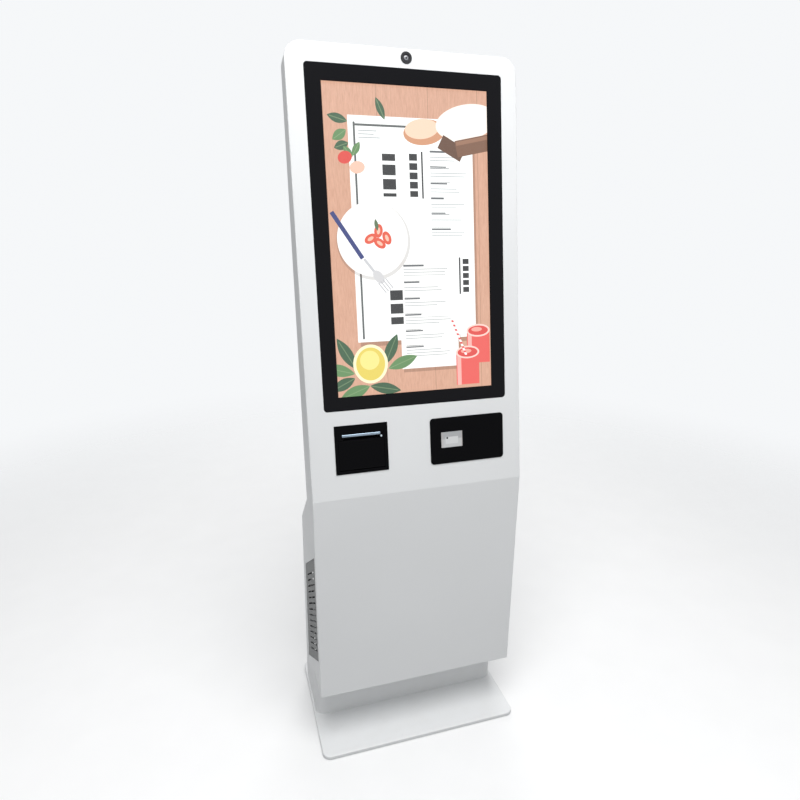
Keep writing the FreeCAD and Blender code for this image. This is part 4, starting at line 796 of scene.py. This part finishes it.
def fill_lens(shape):
    """Stepped baffles down to a domed glass, all inside the ring."""
    outwards = Vector((0, 0, 1)).rotation_difference(-INTO_SKIN).to_matrix().to_4x4()
    facing = Matrix.Translation(on_head(0.0, camera_up)) @ outwards
    dome = [(lens_radius * dome_share * math.cos(turn), lens_face - dome_foot + dome_rise * math.sin(turn))
            for turn in (math.pi / 2 * step / dome_steps for step in range(dome_steps + 1))]
    outline = [(0.0, lens_back), (lens_radius, lens_back), (lens_radius, lens_face)]
    outline += [(lens_radius * share, lens_face - down)
                for share, down in ((0.90, 0.0), (0.88, first_step), (0.80, first_step),
                                    (0.78, second_step), (0.64, second_step))]
    turned(shape, outline + dome, facing, 72)


lens = new_piece("camera_lens", fill_lens, "cabinet", lens_glass())
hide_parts("camera_window")


# ---------------------------------------------------------------------------------------
# Ticket printer: a black moulded bezel, a drop-down door with its rubber platen, a steel
# case with the print head, and the paper roll on its card core. Above the slot a steel
# blade with fine teeth tears the tickets.
# ---------------------------------------------------------------------------------------
def paper(name, core_radius, layer=0.00085):
    """Thermal paper: bright white, with the rings of its turns showing on the roll's ends."""
    web = Finish(name, Specular_IOR_Level=0.35)
    place = web.place
    fibre = place.noise(420.0, 5.0, 0.65)
    from_axis = place - tuple(roll_centre)
    up, deep = from_axis.axis("Z"), from_axis.axis("Y")
    radius = (up * up + deep * deep) ** 0.5
    turns = radius.rest_of(layer) / layer
    edge_tone = (turns > 0.7) * (radius > core_radius)
    web.feed(Base_Color=(edge_tone * 0.5).blend(fibre.blend((0.82, 0.83, 0.83), (0.88, 0.88, 0.86)),
                                                (0.60, 0.60, 0.58)),
             Roughness=0.55 + fibre * 0.1, Normal=(fibre * 0.5 + turns * 0.5).bump(0.00008, 0.4))
    return web


def card(name):
    """Brown spiral-wound card."""
    board = Finish(name, Specular_IOR_Level=0.25)
    place = board.place
    fibre = place.noise(500.0, 5.0, 0.7)
    wrap = (place.axis("X") + place.axis("Z") * 0.6).rest_of(0.011) < 0.0007
    board.feed(Base_Color=(wrap * 0.6).blend(fibre.blend((0.34, 0.22, 0.12), (0.46, 0.32, 0.19)),
                                             (0.20, 0.12, 0.07)),
               Roughness=0.8 + fibre * 0.1, Normal=fibre.bump(0.0001, 0.6))
    return board


roll_centre = Vector(joints["roll_turn"]["pos_m"])
gloss_plastic = plastic("bezel_plastic", (0.003, 0.003, 0.0035), 0.24, 0.00002, 0.05)
gloss_plastic.on("printer_bezel", "ticket_door")
ease_edges(0.0006, "printer_bezel", "ticket_door")
zinc.on("printer_case", "platen_shaft", "roll_spindle")
black_plastic.on("print_head")
black_rubber.on("platen_roller")
ticket_paper = paper("ticket_paper", 0.0085)
ticket_paper.on("paper_roll")
card("card_core").on("roll_core")


def lit_dot(name, colour, strength):
    """A small translucent button lit from behind, with a faint speckle."""
    cap = Finish(name, Roughness=0.3, Emission_Strength=strength)
    speck = cap.place.noise(1500.0, 2.0)
    pale = tuple(min(1.0, part * 1.5) for part in colour)
    cap.feed(Base_Color=speck.blend(colour, pale), Emission_Color=speck.blend(colour, pale))
    return cap


lit_dot("feed_button_cap", (0.34, 0.40, 0.44), 0.35).on("feed_button")

bar_low, bar_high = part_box("tear_bar")
bar_left, bar_right = bar_low.x, bar_high.x
bar_bottom, bar_top, bar_front, bar_back = 0.1540, 0.1600, -0.0023, -0.0015
tooth_pitch, tooth_height = 0.0016, 0.0010
fold_rise, top_round, edge_thickness = 0.0030, 0.0006, 0.0002


def fill_blade(shape):
    """A thin blade: a straight folded top and a row of teeth along its lower edge."""
    count = round((bar_right - bar_left) / tooth_pitch)
    pitch = (bar_right - bar_left) / count
    lower = []
    for tooth in range(count):
        lower.append((bar_left + tooth * pitch, bar_bottom + tooth_height))
        lower.append((bar_left + (tooth + 0.5) * pitch, bar_bottom))
    lower.append((bar_right, bar_bottom + tooth_height))
    fold = bar_bottom + fold_rise
    for (x, y), (after_x, after_y) in zip(lower, lower[1:]):
        rows = []
        for here, low in ((x, y), (after_x, after_y)):
            section = ((low, bar_back - edge_thickness), (fold, bar_front),
                       (bar_top - top_round, bar_front), (bar_top, bar_front + 2 * edge_thickness),
                       (bar_top, bar_back), (low, bar_back))
            rows.append([on_head(here, up, behind) for up, behind in section])
        first = [shape.verts.new(point) for point in rows[0]]
        last = [shape.verts.new(point) for point in rows[1]]
        for k in range(len(first)):
            after = (k + 1) % len(first)
            shape.faces.new((first[k], first[after], last[after], last[k]))
        if x == bar_left:
            shape.faces.new(first)
        if after_x == bar_right:
            shape.faces.new(list(reversed(last)))


blade_steel = machined("blade_steel", (0.36, 0.46, 0.56), 0.24)
blade = new_piece("tear_blade", fill_blade, "cabinet", blade_steel, smooth=False)
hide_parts("tear_bar")


# ---------------------------------------------------------------------------------------
# Card and code reader: a glossy black panel with rounded corners. Its pale scan window is
# a little darker in its upper half and has a small sensor eye beside a brighter field.
# ---------------------------------------------------------------------------------------
gloss_plastic.on("reader_panel")
ease_edges(0.0008, "reader_panel")
black_plastic.on("reader_box")
pane_low, pane_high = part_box("scan_window")


def scan_pane():
    """Diffusing acrylic: a little darker above, a bright field, and faint rosy margins left and right."""
    pane = Finish("scan_pane", Roughness=0.28, Emission_Strength=0.02)
    height = (pane.place.axis("Z") - pane_low.z) / (pane_high.z - pane_low.z)
    share = (pane.place.axis("X") - pane_low.x) / (pane_high.x - pane_low.x)
    speck = pane.place.noise(1300.0, 2.0)
    upper = height.ramp(0.50, 0.60)
    tone = upper.blend((0.56, 0.57, 0.57), (0.40, 0.41, 0.42))
    inner = (abs(share - 0.5) < 0.30) * (abs(height - 0.46) < 0.22)
    framed = inner.blend(tone, (0.66, 0.67, 0.67))
    margin = (share < 0.09).most(share > 0.93)
    rosy = (margin * 0.4).blend(framed, (0.50, 0.44, 0.43))
    final = (speck * 0.12).blend(rosy, (0.5, 0.5, 0.5))
    pane.feed(Base_Color=final, Emission_Color=final)
    return pane


scan_pane().on("scan_window")
eye_glass = plastic("sensor_glass", (0.012, 0.010, 0.012), 0.12, 0.00001)
eye_glass.on("sensor_eye")


# ---------------------------------------------------------------------------------------
# Screws of the head's back cover: zinc pan heads with a socket, driven from outside into
# the two uprights.
# ---------------------------------------------------------------------------------------
zinc.on("cover_screws")


# ---------------------------------------------------------------------------------------
# Stage: a pale floor that fades into the pale room a few metres away, four soft round
# lamps, and the camera in front of the kiosk, a little to its left.
# ---------------------------------------------------------------------------------------
FADE_START, FADE_END = 1.3, 3.6


def pale_floor():
    """A matt near-white floor with a faint mottle, solid near the kiosk and clear far from it."""
    floor = Finish("pale_floor", Roughness=0.85)
    mottle = floor.place.noise(7.0, 4.0)
    from_kiosk = floor.place.node("ShaderNodeVectorMath", {0: floor.place}, output=1, operation="LENGTH")
    floor.feed(Base_Color=mottle.blend((0.88, 0.88, 0.88), (0.92, 0.92, 0.92)),
               Alpha=1 - from_kiosk.ramp(FADE_START, FADE_END))
    return floor


FLOOR_HALF = 14.0
floor_mesh = bpy.data.meshes.new("floor")
floor_shape = bmesh.new()
bmesh.ops.create_grid(floor_shape, x_segments=8, y_segments=8, size=FLOOR_HALF)
floor_shape.to_mesh(floor_mesh)
floor_shape.free()
floor = bpy.data.objects.new("floor", floor_mesh)
bpy.context.scene.collection.objects.link(floor)
pale_floor().on(floor)
floor.visible_diffuse = False

aim = Vector((0.0, 0.0, 0.95))
for name, spot, size, power in (("key_light", (-1.2, -2.6, 3.6), 2.6, 16.0),
                                ("fill_light", (3.0, -2.2, 2.4), 2.4, 7.0),
                                ("top_light", (-0.2, -1.3, 3.9), 2.4, 100.0),
                                ("back_light", (0.8, 3.4, 2.6), 2.4, 44.0)):
    lamp = bpy.data.lights.new(name, "AREA")
    lamp.shape = "DISK"
    lamp.size = size
    lamp.energy = power
    light = bpy.data.objects.new(name, lamp)
    light.location = spot
    light.rotation_euler = (aim - Vector(spot)).to_track_quat("-Z", "Y").to_euler()
    bpy.context.scene.collection.objects.link(light)

world = bpy.data.worlds.new("studio")
world.use_nodes = True
room = world.node_tree.nodes["Background"]
room.inputs["Color"].default_value = (0.97, 0.985, 1.0, 1.0)
ROOM_LIGHT, BACKDROP_EXTRA = 0.42, 0.53
backdrop = Wire(world.node_tree.nodes.new("ShaderNodeLightPath").outputs["Is Camera Ray"])
world.node_tree.links.new((backdrop * BACKDROP_EXTRA + ROOM_LIGHT).socket, room.inputs["Strength"])
bpy.context.scene.world = world
bpy.context.scene.view_settings.view_transform = "Standard"

viewpoint = Vector((-0.45575, -1.44573, 1.41828))
yaw, pitch, roll = math.radians(16.94), math.radians(-17.33), math.radians(0.31)
ahead = Vector((math.sin(yaw) * math.cos(pitch), math.cos(yaw) * math.cos(pitch), math.sin(pitch)))
camera = bpy.data.cameras.new("camera")
camera.sensor_width = 36.0
camera.lens = 26.85
camera.clip_start = 0.02
eye = bpy.data.objects.new("camera", camera)
right = ahead.cross(Vector((0, 0, 1))).normalized()
upward = right.cross(ahead)
turn = Matrix((right, upward, -ahead)).transposed() @ Matrix.Rotation(roll, 3, "Z")
eye.matrix_world = Matrix.Translation(viewpoint) @ turn.to_4x4()
bpy.context.scene.collection.objects.link(eye)
bpy.context.scene.camera = eye
